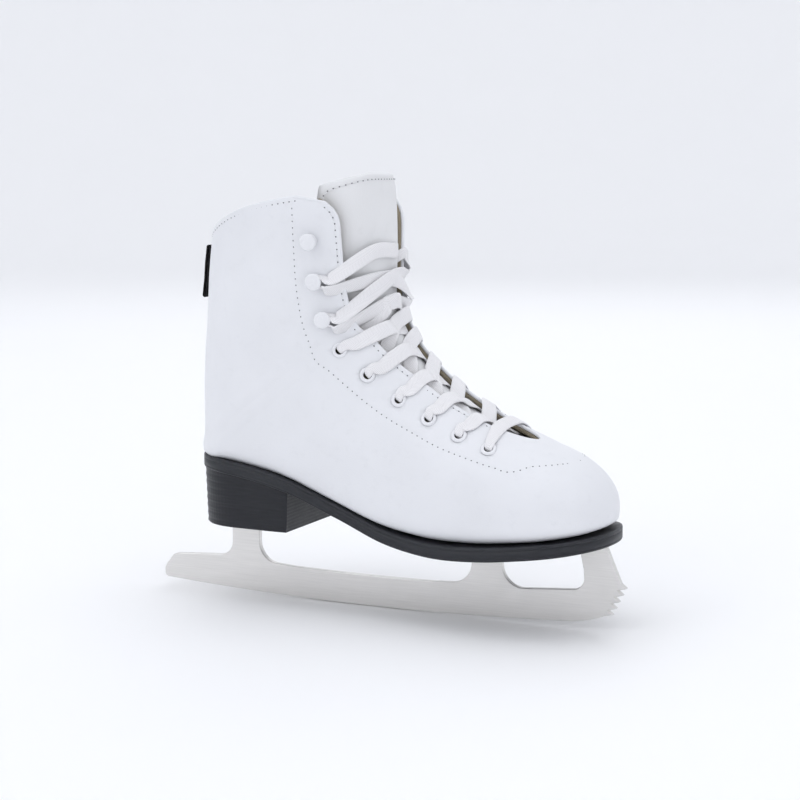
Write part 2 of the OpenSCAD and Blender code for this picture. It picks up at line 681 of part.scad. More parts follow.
// ---- eyelets and hooks ----
rim_t = 0.6;
module eyelet() {
    deep = quarter_in + 0.4 + seat_lift;
    difference() {
        union() {
            cylinder(r = eyelet_r + eyelet_rim, h = rim_t, $fn = 32);
            translate([0, 0, -deep]) cylinder(r = eyelet_r + barrel_t, h = deep + rim_t / 2, $fn = 32);
            translate([0, 0, -deep - rim_t]) cylinder(r = eyelet_r + barrel_t + 1, h = rim_t, $fn = 32);
        }
        translate([0, 0, -deep - 2 * rim_t]) cylinder(r = eyelet_r, h = deep + 4 * rim_t, $fn = 32);
    }
}
module eyelets(side) {
    color("white") for (i = [0:eyelet_count - 1]) {
        on_last(hole_row(i), hole_angle(i, side), -seat_lift) eyelet();
    }
}
hook_base_t = 0.8;
neck_r = 2.1;
cap_t = 1.3;
seat_lift = 0.25;
module hook(i, side) {
    k = eyelet_count + i - 1;
    cap_z = hook_base_t + hook_neck_h;
    color("white") on_last(hole_row(k), hole_angle(k, side), -seat_lift) difference() {
        rotate_extrude($fn = 48) polygon([
            [0, 0], [hook_r - 0.8, 0], [hook_r - 0.8, hook_base_t], [neck_r, hook_base_t + 0.4],
            [neck_r, cap_z], [hook_r - 0.3, cap_z], [hook_r, cap_z + 0.4],
            [hook_r - 0.6, cap_z + cap_t - 0.3], [hook_r - 2, cap_z + cap_t], [0, cap_z + cap_t + 0.3]
        ]);
        translate([0, 0, -past]) cylinder(r = rivet_r + fit / 3, h = past + 2.6, $fn = 24);
    }
}
module hook_rivets() {
    color("silver") for (side = [1, -1]) for (i = [1:hook_count]) {
        k = eyelet_count + i - 1;
        on_last(hole_row(k), hole_angle(k, side)) {
            translate([0, 0, -quarter_in - 0.4]) cylinder(r = rivet_r, h = quarter_in + 2.4, $fn = 24);
            translate([0, 0, -quarter_in - 1.1]) cylinder(r = 2 * rivet_r, h = 0.7, $fn = 32);
        }
    }
}

// ---- lace ----
// The lace passes over an edge of the throat and into the hole beside it, then under the upper and out
// through the throat. Each stop is a point, the direction of its width, its width and its thickness.
function along(t, a) = let (d = surf(t + 0.05, a) - surf(t - 0.05, a)) d / norm(d);
function stop(t, a, depth) = [under(t, a, depth), along(t, a), lace_w, lace_t];
function edge_stop(t, side, share, depth) = stop(t, side * throat_edge(t, side) * share, depth);
lace_rest = 0.3;
under_share = 0.9;
over_share = 0.97;
edge_dip = 0.75;
grip = 1.3;
hook_lead = 9;
neck_mid = seat_lift + hook_base_t + hook_neck_h / 2 + 0.2;
// The strands end under the medial edge: how far round they are tucked, and how their tips lie
tuck = 6;
tip_run = 0.15;
tip_dip = 0.1;
edge_gap = 4.5;
lace_in = quarter_in + lace_t / 2 + layer_gap / 2;
lace_over = -lace_t / 2 - rim_t - lace_rest;
lace_low = tongue_out - lace_t / 2 - lace_rest - 1;
lace_high = lace_low - lace_t - lace_rest;
// On the lateral side the lace reaches its hole from nearer the toe
drawn_down = 0.35;
function reach_row(i, side) =
    hole_row(i) - (side > 0 ? drawn_down : 0) * (hole_row(i) - hole_row(i - 1));
// From inside the hole at one side, over the tongue and into the next hole up at the other side
function crossing(i, side, mid) =
    let (t = hole_row(i), u = hole_row(i + 1), over = reach_row(i + 1, -side), half_way = (t + over) / 2)
    [
        stop(t, hole_angle(i, side), lace_in),
        edge_stop(t, side, under_share, lace_in),
        stop(half_way, middle(half_way), mid),
        edge_stop(over, -side, over_share, lace_over * edge_dip),
        stop(u, hole_angle(i + 1, -side), lace_over)
    ];
function round_stop(p, wide) = [p, wide, 2 * grip, 2 * grip];
// Round a hook's neck, from below to above
function round_hook(i, side) =
    let (
        t = hole_row(i),
        a = hole_angle(i, side),
        p = under(t, a, -neck_mid),
        n = normal(t, a),
        u = along(t, a),
        back = side * cross(n, u),
        r = neck_r + grip + 2 * lace_rest
    )
    [
        round_stop(p - back * hook_lead - u * r, n),
        round_stop(p + (back / 2 - u) * r, n),
        round_stop(p + back * (r + lace_rest), n),
        round_stop(p + (back / 2 + u) * r, n),
        round_stop(p - back * hook_lead + u * r, n)
    ];
last_eyelet = eyelet_count - 1;
// Share of the way to the first hook at which the strand leaves the edge
last_rise = 0.12;
function flip(i) = i % 2 == 0 ? 1 : -1;
// From the lowest hole of one side up to the strand's end; mid is its depth where the strands cross
function strand(side, mid) =
    let (
        top = side * flip(last_eyelet),
        h0 = hole_row(last_eyelet),
        h1 = hole_row(eyelet_count),
        h2 = hole_row(eyelet_count + 1),
        leave = h0 + last_rise * (h1 - h0),
        ends = h2 + 3 * tip_run,
        e = throat_edge(ends, -1)
    )
    concat(
        [for (i = [0:last_eyelet - 1]) each crossing(i, side * flip(i), mid)],
        [
            stop(h0, hole_angle(last_eyelet, top), lace_in),
            edge_stop(leave, top, under_share, lace_in),
            stop((h0 + h1) / 2, middle(h1), mid)
        ],
        round_hook(eyelet_count, -top),
        [stop((h1 + h2) / 2, middle(h2), mid)],
        round_hook(eyelet_count + 1, top),
        top > 0
            ? [
                stop(ends, middle(ends), lace_low),
                stop(ends, -e - tuck, lace_in + tip_dip),
                stop(ends + 2 * tip_run, -e - 1.3 * tuck, lace_in + tip_dip)
            ]
            : [
                stop(ends - tip_run, edge_gap - e, lace_t / 2),
                stop(ends - 2 * tip_run, edge_gap - e, lace_in),
                stop(ends - 3.5 * tip_run, -e - 0.6 * tuck, lace_in + tip_dip),
                stop(ends - 5 * tip_run, -e - 0.6 * tuck, lace_in + tip_dip)
            ]
    );
function flipped(list) = [for (i = [len(list) - 1:-1:0]) list[i]];
lace_stops = concat(
    flipped(strand(1, lace_high)),
    [
        stop(hole_row(0), hole_angle(0, 1), lace_over),
        edge_stop(hole_row(0), 1, 1, lace_over),
        stop(hole_row(0), 0, lace_over),
        edge_stop(hole_row(0), -1, 1, lace_over),
        stop(hole_row(0), hole_angle(0, -1), lace_over)
    ],
    strand(-1, lace_low)
);
lace_sides = 8;
function unit(v) = v / norm(v);
module lace() {
    n = len(lace_stops);
    rings = [for (i = [0:n - 1])
        let (s = lace_stops[i], dir = unit(lace_stops[min(i + 1, n - 1)][0] - lace_stops[max(i - 1, 0)][0]),
            wide = unit(s[1] - (s[1] * dir) * dir), thick = cross(dir, wide))
        for (k = [0:lace_sides - 1]) let (q = 360 * (k + 0.5) / lace_sides)
            s[0] + wide * s[2] / 2 * cos(q) + thick * s[3] / 2 * sin(q)];
    function at(i, k) = i * lace_sides + k % lace_sides;
    walls = [for (i = [0:n - 2]) for (k = [0:lace_sides - 1]) for (h = [0, 1])
        h == 0 ? [at(i, k), at(i + 1, k), at(i + 1, k + 1)] : [at(i, k), at(i + 1, k + 1), at(i, k + 1)]];
    ends = [[for (k = [0:lace_sides - 1]) k], [for (k = [lace_sides - 1:-1:0]) at(n - 1, k)]];
    color("white") polyhedron(points = rings, faces = concat(walls, ends));
}
aglet_r = 0.85;
aglet_len = 6.5;
module aglets() {
    n = len(lace_stops);
    for (e = [[lace_stops[0], lace_stops[1]], [lace_stops[n - 1], lace_stops[n - 2]]]) {
        d = unit(e[0][0] - e[1][0]);
        color("white") translate(e[0][0] + d * 0.6) rotate([0, acos(d[2]), atan2(d[1], d[0])])
            cylinder(r = aglet_r, h = aglet_len, $fn = 24);
    }
}

upper();
lining();
ankle_padding();
eyestay_lateral();
eyestay_medial();
heel_counter();
toe_puff();
backstay();
pull_loop();
tongue_cover();
tongue_padding();
tongue_flap();
tongue_flap_padding();
insole_board();
shank();
footbed();
outsole();
heel_block();
blade();
sole_plate();
heel_plate();
sole_screws();
heel_screws();
eyelets(1);  // eyelets_lateral
eyelets(-1);  // eyelets_medial
for (i = [1:hook_count]) {
    hook(i, 1);
    hook(i, -1);
}
hook_rivets();
lace();
aglets();
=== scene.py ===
"""A white figure skate: a laced boot on a heeled sole, with a one-piece steel blade."""

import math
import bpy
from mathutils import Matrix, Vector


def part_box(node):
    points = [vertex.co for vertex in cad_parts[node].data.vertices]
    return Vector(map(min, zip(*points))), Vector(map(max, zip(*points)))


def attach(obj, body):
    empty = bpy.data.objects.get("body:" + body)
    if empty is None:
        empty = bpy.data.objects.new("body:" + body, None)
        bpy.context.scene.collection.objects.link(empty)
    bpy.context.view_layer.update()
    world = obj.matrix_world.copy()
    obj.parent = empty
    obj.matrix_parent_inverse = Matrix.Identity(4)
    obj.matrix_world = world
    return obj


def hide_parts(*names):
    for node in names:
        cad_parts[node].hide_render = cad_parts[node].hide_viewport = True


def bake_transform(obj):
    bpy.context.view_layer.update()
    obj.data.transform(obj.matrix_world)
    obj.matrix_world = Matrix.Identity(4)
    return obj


bl_info = {
    "name": "Figure Skate",
    "version": (1, 0, 0),
    "blender": (4, 5, 0),
    "location": "View3D > Sidebar > Skate",
    "description": "Dresses the frame of a figure skate in leather, cloth, lace, rubber and steel",
    "category": "Object",
}

from functools import lru_cache

import bmesh
import bpy
from bpy.props import FloatProperty, FloatVectorProperty, IntProperty, PointerProperty
from mathutils import Matrix, Vector, noise

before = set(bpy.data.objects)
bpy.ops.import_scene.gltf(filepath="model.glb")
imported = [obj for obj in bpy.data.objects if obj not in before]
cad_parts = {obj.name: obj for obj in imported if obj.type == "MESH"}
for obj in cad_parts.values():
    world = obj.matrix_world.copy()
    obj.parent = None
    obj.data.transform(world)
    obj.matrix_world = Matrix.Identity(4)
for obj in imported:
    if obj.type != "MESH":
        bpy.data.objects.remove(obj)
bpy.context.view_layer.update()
MM = 0.001


# ---- sizes and colours that a user would change ----


class SkateLeather(bpy.types.PropertyGroup):
    """The boot's leather, its rolled edges and its seams"""

    sheet_t: FloatProperty(name="Leather", description="Thickness of the leather where it is rolled over",
                           default=0.0011, min=0.0006, max=0.002, unit="LENGTH")
    pitch: FloatProperty(name="Stitch", description="Distance from one stitch to the next",
                         default=0.0037, min=0.0015, max=0.006, unit="LENGTH")
    thread: FloatProperty(name="Thread", description="Width of the sewing thread",
                          default=0.0008, min=0.0003, max=0.0015, unit="LENGTH")
    edge_seam: FloatProperty(name="Edge seam", description="Distance of the edge seams from their edge",
                             default=0.0021, min=0.001, max=0.006, unit="LENGTH")
    shade: FloatVectorProperty(name="Leather colour", description="Colour of the boot's leather",
                               default=(0.800, 0.808, 0.835), min=0, max=1, subtype="COLOR")
    tongue_shade: FloatVectorProperty(name="Tongue colour", description="Colour of the tongue's leather",
                                      default=(0.790, 0.792, 0.800), min=0, max=1, subtype="COLOR")
    lining_shade: FloatVectorProperty(name="Lining colour", description="Colour of the lining",
                                      default=(0.385, 0.335, 0.245), min=0, max=1, subtype="COLOR")


class SkateLace(bpy.types.PropertyGroup):
    """The flat woven lace and the pull loop's webbing"""

    width: FloatProperty(name="Width", description="Width of the lace where it lies flat",
                         default=0.0091, min=0.005, max=0.012, unit="LENGTH")
    drawn: FloatProperty(name="Drawn width", description="Width of the lace in an eyelet",
                         default=0.0043, min=0.003, max=0.006, unit="LENGTH")
    thick: FloatProperty(name="Thickness", description="Thickness of the lace",
                         default=0.0012, min=0.0006, max=0.002, unit="LENGTH")
    shade: FloatVectorProperty(name="Lace colour", description="Colour of the lace",
                               default=(0.930, 0.922, 0.935), min=0, max=1, subtype="COLOR")
    webbing: FloatVectorProperty(name="Webbing colour", description="Colour of the pull loop",
                                 default=(0.012, 0.012, 0.013), min=0, max=1, subtype="COLOR")


class SkateSole(bpy.types.PropertyGroup):
    """The outsole and the heel block"""

    edge_round: FloatProperty(name="Edge", description="Rounding of the sole's edges",
                              default=0.0009, min=0.0002, max=0.002, unit="LENGTH")
    groove: FloatProperty(name="Groove", description="Depth of the line round the sole's edge",
                          default=0.0003, min=0, max=0.001, unit="LENGTH")
    heel_taper: FloatProperty(name="Heel taper", description="How far the heel draws in downwards",
                              default=0.0013, min=0, max=0.004, unit="LENGTH")
    shade: FloatVectorProperty(name="Sole colour", description="Colour of the outsole",
                               default=(0.020, 0.0215, 0.0265), min=0, max=1, subtype="COLOR")
    heel_shade: FloatVectorProperty(name="Heel colour", description="Colour of the heel block",
                                    default=(0.0145, 0.0155, 0.0195), min=0, max=1, subtype="COLOR")


class SkateSteel(bpy.types.PropertyGroup):
    """The blade and the fastenings"""

    chamfer: FloatProperty(name="Chamfer", description="Width of the blade's broken edges",
                           default=0.00045, min=0.0001, max=0.001, unit="LENGTH")
    steps: IntProperty(name="Arc steps", description="Steps in a quarter turn of a fillet",
                       default=14, min=4, max=32)
    shade: FloatVectorProperty(name="Steel colour", description="Colour of the blade",
                               default=(0.80, 0.785, 0.765), min=0, max=1, subtype="COLOR")
    enamel: FloatVectorProperty(name="Enamel colour", description="Colour of the eyelets and the hooks",
                                default=(0.80, 0.805, 0.83), min=0, max=1, subtype="COLOR")


GROUPS = {"skate_leather": SkateLeather, "skate_lace": SkateLace, "skate_sole": SkateSole,
          "skate_steel": SkateSteel}


# ---- the last: the smooth surface that every layer of the boot follows, in millimetres ----


def mm_box(node):
    """A part's low and high corners, in millimetres."""
    low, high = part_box(node)
    return low / MM, high / MM


SOLE_LOW, SOLE_HIGH = mm_box("outsole")
HEEL_LOW, HEEL_HIGH = mm_box("heel_block")
BLADE_LOW, BLADE_HIGH = mm_box("blade")
SOLE_T = 8.0
SOLE_BACK, SOLE_FRONT = SOLE_LOW.x, SOLE_HIGH.x
SOLE_LEN = SOLE_FRONT - SOLE_BACK
BALL_TOP = SOLE_LOW.z + SOLE_T
SEAT_TOP = SOLE_HIGH.z

# Share of the heel's rise at even steps from heel to toe
SOLE_SHARES = (1, 0.93, 0.757, 0.43, 0.114, 0, 0.025, 0.127, 0.245)

# Each station is a flat cut through the boot, from its front to its back or underside: front x, front
# height over the ball, back x, back height over the sole line, share of the cut where it is widest,
# lateral and medial half widths, roundness in front and behind
STATIONS = (
    (104, 55.5, 104, 0, 0.34, 42.5, 43.5, 2.3, 6),
    (78, 67, 78, 0, 0.32, 43, 45, 2.2, 6),
    (53, 82, 50, 0, 0.29, 41, 42, 2, 6),
    (35.5, 96.5, 20, 0, 0.28, 37, 36, 2, 6),
    (23.5, 109.5, -14, -1.5, 0.29, 33.5, 32, 2.1, 6),
    (17.5, 119, -50, -2.5, 0.32, 34, 33, 2.3, 5),
    (14.5, 125.5, -88, -3, 0.36, 34.5, 34, 2.4, 4),
    (13.4, 131, -114, -3.5, 0.4, 35, 34.5, 2.4, 2.7),
    (12.8, 136.5, -117.3, 17, 0.44, 35, 35, 2.4, 2.15),
    (12, 144, -118.5, 46.5, 0.47, 35.5, 35.5, 2.5, 2),
    (11.5, 157, -116, 81.5, 0.5, 37.5, 37.5, 2.6, 1.9),
    (10, 175, -113.5, 110.5, 0.52, 40.5, 40.5, 2.8, 1.9),
    (8, 192, -111, 129.5, 0.52, 42.5, 42.5, 3, 1.9),
    (6, 213, -110.5, 150.5, 0.52, 43.5, 43.5, 3, 1.9),
)
COLLAR = 12
COLLAR_LIFT = 12
LIFT_FROM = 8
TOE_X = SOLE_FRONT - 2
TOE_Z = 20
TOE_SLOPE = 0.33

# Angles of the throat at rows 0 to 12, as the frame has them
THROAT_ROW = 0.2
EDGE_ANGLES = (18, 20.5, 25, 29, 34, 37.5, 38.5, 42, 46.5, 51, 55, 57, 58)
HOLE_ANGLES = (42, 43.5, 45.3, 47.5, 52, 54.5, 54.5, 57, 61, 66, 72, 76, 78)
SEAM_ANGLES = (56, 58, 58.5, 60, 63.5, 66, 66, 67, 71, 76.8, 82, 84.5, 85)
SWING_ANGLES = (0, 4.5, 8, 11, 14, 15.5, 15.5, 18, 19.5, 20, 18, 17, 14)
TONGUE_ANGLES = (30, 32, 34, 37, 40, 42, 43, 46, 51, 56, 61, 65, 67, 58)
HOLE_ROWS = (0.95, 1.65, 2.5, 3.5, 4.75, 6.55, 8.7, 9.9, 10.85)
EYELETS = 6
HOOKS = 3
CORNER_ROW = 11.2
CORNER_TURN = 25

# Depths of the layers under the last's surface
INNER_FROM = 2.1
LINING_OUT = 3.9
LINING_SWOLLEN = 5.4
LINING_T = 0.8
QUARTER_IN = LINING_OUT + LINING_T
TONGUE_OUT = 7.1
TONGUE_IN = 12.2
ROLL_R = 1.0


def clamped(q):
    """Keeps a value between 0 and 1."""
    return min(1.0, max(0.0, q))


def spline(values, t):
    """A smooth curve through values that stand at whole numbers."""
    n = len(values) - 1
    i = int(min(max(math.floor(t), 0), n - 1))
    f = t - i
    b, c = values[i], values[i + 1]
    a = values[i - 1] if i > 0 else 2 * b - c
    d = values[i + 2] if i + 2 <= n else 2 * c - b
    square, cube = 2 * a - 5 * b + 4 * c - d, 3 * b - a - 3 * c + d
    return 0.5 * (2 * b + (c - a) * f + square * f ** 2 + cube * f ** 3)


def sole_z(x):
    """Height of the sole's upper face at x."""
    share = spline(SOLE_SHARES, (x - SOLE_BACK) / SOLE_LEN * (len(SOLE_SHARES) - 1))
    return BALL_TOP + (SEAT_TOP - BALL_TOP) * share


@lru_cache(maxsize=None)
def row(t):
    """One cut through the boot: rows from 0 to 12 are the body, and from 0 to -1 the toe closes."""
    s = [spline([station[k] for station in STATIONS], max(t, 0)) for k in range(9)]
    s[1] += BALL_TOP
    s[3] += sole_z(s[2])
    if t >= 0:
        return tuple(s)
    turn = math.radians(90 * (1 + t))
    c, sn = max(math.cos(turn), 0) ** 0.95, max(math.sin(turn), 0)
    reach = TOE_X - s[0]
    x = s[0] + reach * c
    tip = BALL_TOP + TOE_Z
    rise = TOE_SLOPE * reach
    k = sn ** 0.93
    return (
        x, tip + rise + (s[1] - tip - rise) * sn - TOE_SLOPE * (x - s[0]), x,
        tip + (sole_z(x) - tip) * sn ** 0.3, s[4] + (0.5 - s[4]) * (1 - sn),
        s[5] * k, s[6] * k, s[7], s[8] + (2.2 - s[8]) * (1 - sn) ** 2,
    )


def surf(t, a):
    """A point of the last. Angle 0 is the front, 90 the lateral side, 180 the back, 270 the medial."""
    r = row(t)
    c, s = math.cos(math.radians(a)), math.sin(math.radians(a))
    n = r[7] if c >= 0 else r[8]
    q = abs(c) ** (2 / n)
    share = r[4] + (1 - r[4]) * q if c >= 0 else r[4] * (1 - q)
    w = (-r[5] if s >= 0 else r[6]) * abs(s) ** (2 / n)
    x = r[2] + (r[0] - r[2]) * share
    rise = clamped((t - LIFT_FROM) / (COLLAR - LIFT_FROM)) ** 2
    lift = COLLAR_LIFT * rise * (1 - (1 - share) ** 6) * (1 - share ** 5)
    return Vector((x, w, max(r[3] + (r[1] - r[3]) * share + lift, sole_z(x))))


def normal(t, a):
    """The last's outward normal."""
    up = surf(t + 0.03, a) - surf(max(t - 0.03, -1), a)
    n = up.cross(surf(t, a + 1.5) - surf(t, a - 1.5))
    return n.normalized() if n.length > 1e-9 else Vector((1, 0, 0))


def under(t, a, depth):
    """A point under the last's surface, or above it where the depth is negative."""
    return surf(t, a) - normal(t, a) * depth


def along(t, a):
    """The direction up the last."""
    return (surf(t + 0.05, a) - surf(t - 0.05, a)).normalized()


def swing(t, side):
    """How far the throat's medial edge lies nearer to the front than the lateral one."""
    return spline(SWING_ANGLES, min(t, COLLAR)) if side < 0 else 0.0


def corner(t):
    """How far the throat's edge turns away where it rounds into the collar."""
    q = clamped((t - CORNER_ROW) / (COLLAR - CORNER_ROW))
    return CORNER_TURN * (1 - math.sqrt(1 - q * q))


def throat_edge(t, side):
    q = clamped((t - THROAT_ROW) / 1.3)
    return (spline(EDGE_ANGLES, t) - swing(t, side)) * math.sqrt(1 - (1 - q) ** 2) + corner(t)


def hole_angle(t, side):
    return spline(HOLE_ANGLES, t) - swing(t, side)


def seam_angle(t, side):
    return spline(SEAM_ANGLES, t) - swing(t, side)


def middle(t):
    """The angle of the line midway between the throat's edges."""
    return spline(SWING_ANGLES, min(t, COLLAR)) / 2


def degrees_for(t, a, distance):
    """The turn that moves a point by a distance round the last."""
    arc = (surf(t, a + 1) - surf(t, a - 1)).length / 2
    return distance / max(arc, 0.08)


def steps(a, b, n):
    """The ends and the even steps between them."""
    return [a + (b - a) * i / n for i in range(n + 1)]


# ---- making pieces ----


def sizes(group):
    """The scene's values of one group."""
    return getattr(bpy.context.scene, group)


def grid(bm, rows, columns, place, outward=True, wrap=(1.0, 1.0), chart=None):
    """Adds a grid whose corner (i, j) stands at place(i, j), in millimetres, with a UV map in metres.

    The map is the grid's own, stretched by wrap, or gives corner (i, j) the place chart(i, j)."""
    uv = bm.loops.layers.uv.active or bm.loops.layers.uv.new("UVMap")
    made = bmesh.ops.create_grid(bm, x_segments=columns - 1, y_segments=rows - 1, size=1, calc_uvs=True)
    for k, v in enumerate(made["verts"]):
        v.co = place(*divmod(k, columns)) * MM
    faces = {f for v in made["verts"] for f in v.link_faces}
    corners = {v: divmod(k, columns) for k, v in enumerate(made["verts"])}
    for f in faces:
        for loop in f.loops:
            own = loop[uv].uv
            loop[uv].uv = chart(*corners[loop.vert]) if chart else (own.x * wrap[0], own.y * wrap[1])
    if not outward:
        bmesh.ops.reverse_faces(bm, faces=list(faces))
    return made["verts"]


def merged(bm, distance=0.01):
    """Joins corners that lie within a distance, in millimetres."""
    bmesh.ops.remove_doubles(bm, verts=bm.verts, dist=distance * MM)


def ringed(bm, corners, columns):
    """Joins each row's last corner to its first."""
    corners = list(corners)
    for i in range(0, len(corners) - columns, columns):
        near, far = corners[i:i + columns], corners[i + columns:i + 2 * columns]
        bm.faces.new((near[0], near[-1], far[-1], far[0]))


def closed_up(bm):
    """Fills the open ends and turns every face outwards."""
    bmesh.ops.holes_fill(bm, edges=[e for e in bm.edges if e.is_boundary], sides=0)
    bmesh.ops.recalc_face_normals(bm, faces=bm.faces)


def piece(name, bm, materials, body="boot", smooth=True):
    """Turns a bmesh into an object, which rides on a body if one is given."""
    mesh = bpy.data.meshes.new(name)
    bm.to_mesh(mesh)
    bm.free()
    made = bpy.data.objects.new(name, mesh)
    bpy.context.scene.collection.objects.link(made)
    for material in materials:
        mesh.materials.append(material)
    mesh.polygons.foreach_set("use_smooth", [smooth] * len(mesh.polygons))
    mesh.update()
    if body:
        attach(made, body)
    return made


def walled(made, thickness):
    """Gives a sheet its thickness, inwards from its outer face."""
    wall = made.modifiers.new("Wall", "SOLIDIFY")
    wall.thickness = thickness
    wall.offset = -1.0
    return made


def rounded(made, width, segments, limit):
    """Rounds the edges that turn more sharply than the limit, in degrees."""
    edge = made.modifiers.new("Edge", "BEVEL")
    edge.width = width
    edge.segments = segments
    edge.limit_method = "ANGLE"
    edge.angle_limit = math.radians(limit)
    return made


def standing(point, up, forward=Vector((0, 0, 1))):
    """A frame at a point, in metres, whose Z is up and whose X is near forward."""
    z = up.normalized()
    x = (forward - z * forward.dot(z)).normalized()
    y = z.cross(x)
    turn = Matrix((x, y, z)).transposed().to_4x4()
    return Matrix.Translation(point * MM) @ turn


def turned(bm, profile, matrix, sides=32, material=0):
    """Spins a profile of (radius, height) pairs, in millimetres, round Z, and stands it at matrix."""
    rim = [bm.verts.new((r * MM, 0, z * MM)) for r, z in profile]
    edges = [bm.edges.new(pair) for pair in zip(rim, rim[1:])]
    spun = bmesh.ops.spin(bm, geom=rim + edges, cent=(0, 0, 0), axis=(0, 0, 1), angle=2 * math.pi,
                          steps=sides, use_merge=True, use_duplicate=False)
    verts = {v for v in spun["geom_last"] if isinstance(v, bmesh.types.BMVert)} | set(rim)
    reached = set(verts)
    while verts:
        verts = {e.other_vert(v) for v in verts for e in v.link_edges} - reached
        reached |= verts
    bmesh.ops.remove_doubles(bm, verts=list(reached), dist=0.004 * MM)
    alive = [v for v in reached if v.is_valid]
    faces = list({f for v in alive for f in v.link_faces})
    bmesh.ops.recalc_face_normals(bm, faces=faces)
    for f in faces:
        f.material_index = material
    bmesh.ops.transform(bm, matrix=matrix, verts=alive)
    return faces


def open_hole(bm, centre, radius):
    """Clears a round hole in a grid, and draws the cells round it in to the hole's edge."""
    centre = centre * MM
    radius *= MM
    near = [v for v in bm.verts if (v.co - centre).length < radius]
    ring = {w for v in near for e in v.link_edges for w in (e.other_vert(v),)}
    corners = {w for v in near for f in v.link_faces for w in f.verts}
    bmesh.ops.delete(bm, geom=near, context="VERTS")
    for v in (ring | corners):
        if v.is_valid:
            away = v.co - centre
            v.co = centre + away * (radius * 1.08 / away.length)


# ---- seams ----


def even_points(path, pitch):
    """Points at an even pitch along a path of (place, normal) pairs, with their direction."""
    lengths = [0.0]
    for (p, _), (q, _) in zip(path, path[1:]):
        lengths.append(lengths[-1] + (q - p).length)
    count = max(1, round(lengths[-1] / pitch))
    found, k = [], 0
    for i in range(count + 1):
        at = lengths[-1] * i / count
        while k < len(path) - 2 and lengths[k + 1] < at:
            k += 1
        f = (at - lengths[k]) / max(lengths[k + 1] - lengths[k], 1e-9)
        (p, n), (q, m) = path[k], path[k + 1]
        found.append((p.lerp(q, f), n.lerp(m, f).normalized(), (q - p).normalized()))
    return found


def sew(bm, path, pitch, thread, sink=0.1):
    """Adds a row of stitches along a path: a thread over each step and, at its ends, a flat dark disc that
    is painted shade for the needle hole.
    """
    points = even_points(path, pitch)
    for (p, n, d), (q, _, _) in zip(points, points[1:]):
        middle_point = (p + q) / 2
        reach = (q - p).length
        ball = bmesh.ops.create_uvsphere(bm, u_segments=6, v_segments=5, radius=0.5)["verts"]
        size = Matrix.Diagonal((reach * 0.72 * MM, thread * MM, thread * 0.5 * MM, 1))
        place = standing(middle_point - n * sink * 2, n, q - p)
        bmesh.ops.transform(bm, matrix=place @ size, verts=ball)
        # Painted shade: a thin dark disc at each end of a stitch stands in for the shade inside the needle
        # hole.
        hole = bmesh.ops.create_icosphere(bm, subdivisions=1, radius=0.5)["verts"]
        size = Matrix.Diagonal((thread * 1.35 * MM, thread * 1.05 * MM, thread * 0.3 * MM, 1))
        bmesh.ops.transform(bm, matrix=standing(p - n * sink * 0.3, n, d) @ size, verts=hole)
        for f in {f for v in hole for f in v.link_faces}:
            f.material_index = 1


# ---- shader maths ----


class Value:
    """A shader socket that Python's operators work on."""

    def __init__(self, finish, socket):
        self.finish = finish
        self.socket = socket

    def maths(self, operation, *values):
        return self.finish.node("ShaderNodeMath", {"operation": operation}, dict(enumerate(values)))

    def __add__(self, other):
        return self.maths("ADD", self, other)

    def __sub__(self, other):
        return self.maths("SUBTRACT", self, other)

    def __mul__(self, other):
        return self.maths("MULTIPLY", self, other)

    def size(self):
        return self.maths("ABSOLUTE", self)

    def sine(self):
        return self.maths("SINE", self)

    def waves(self, pitch):
        """A smooth ridge from 0 to 1 at every pitch, in metres."""
        return (self * (2 * math.pi / pitch)).sine() * 0.5 + 0.5


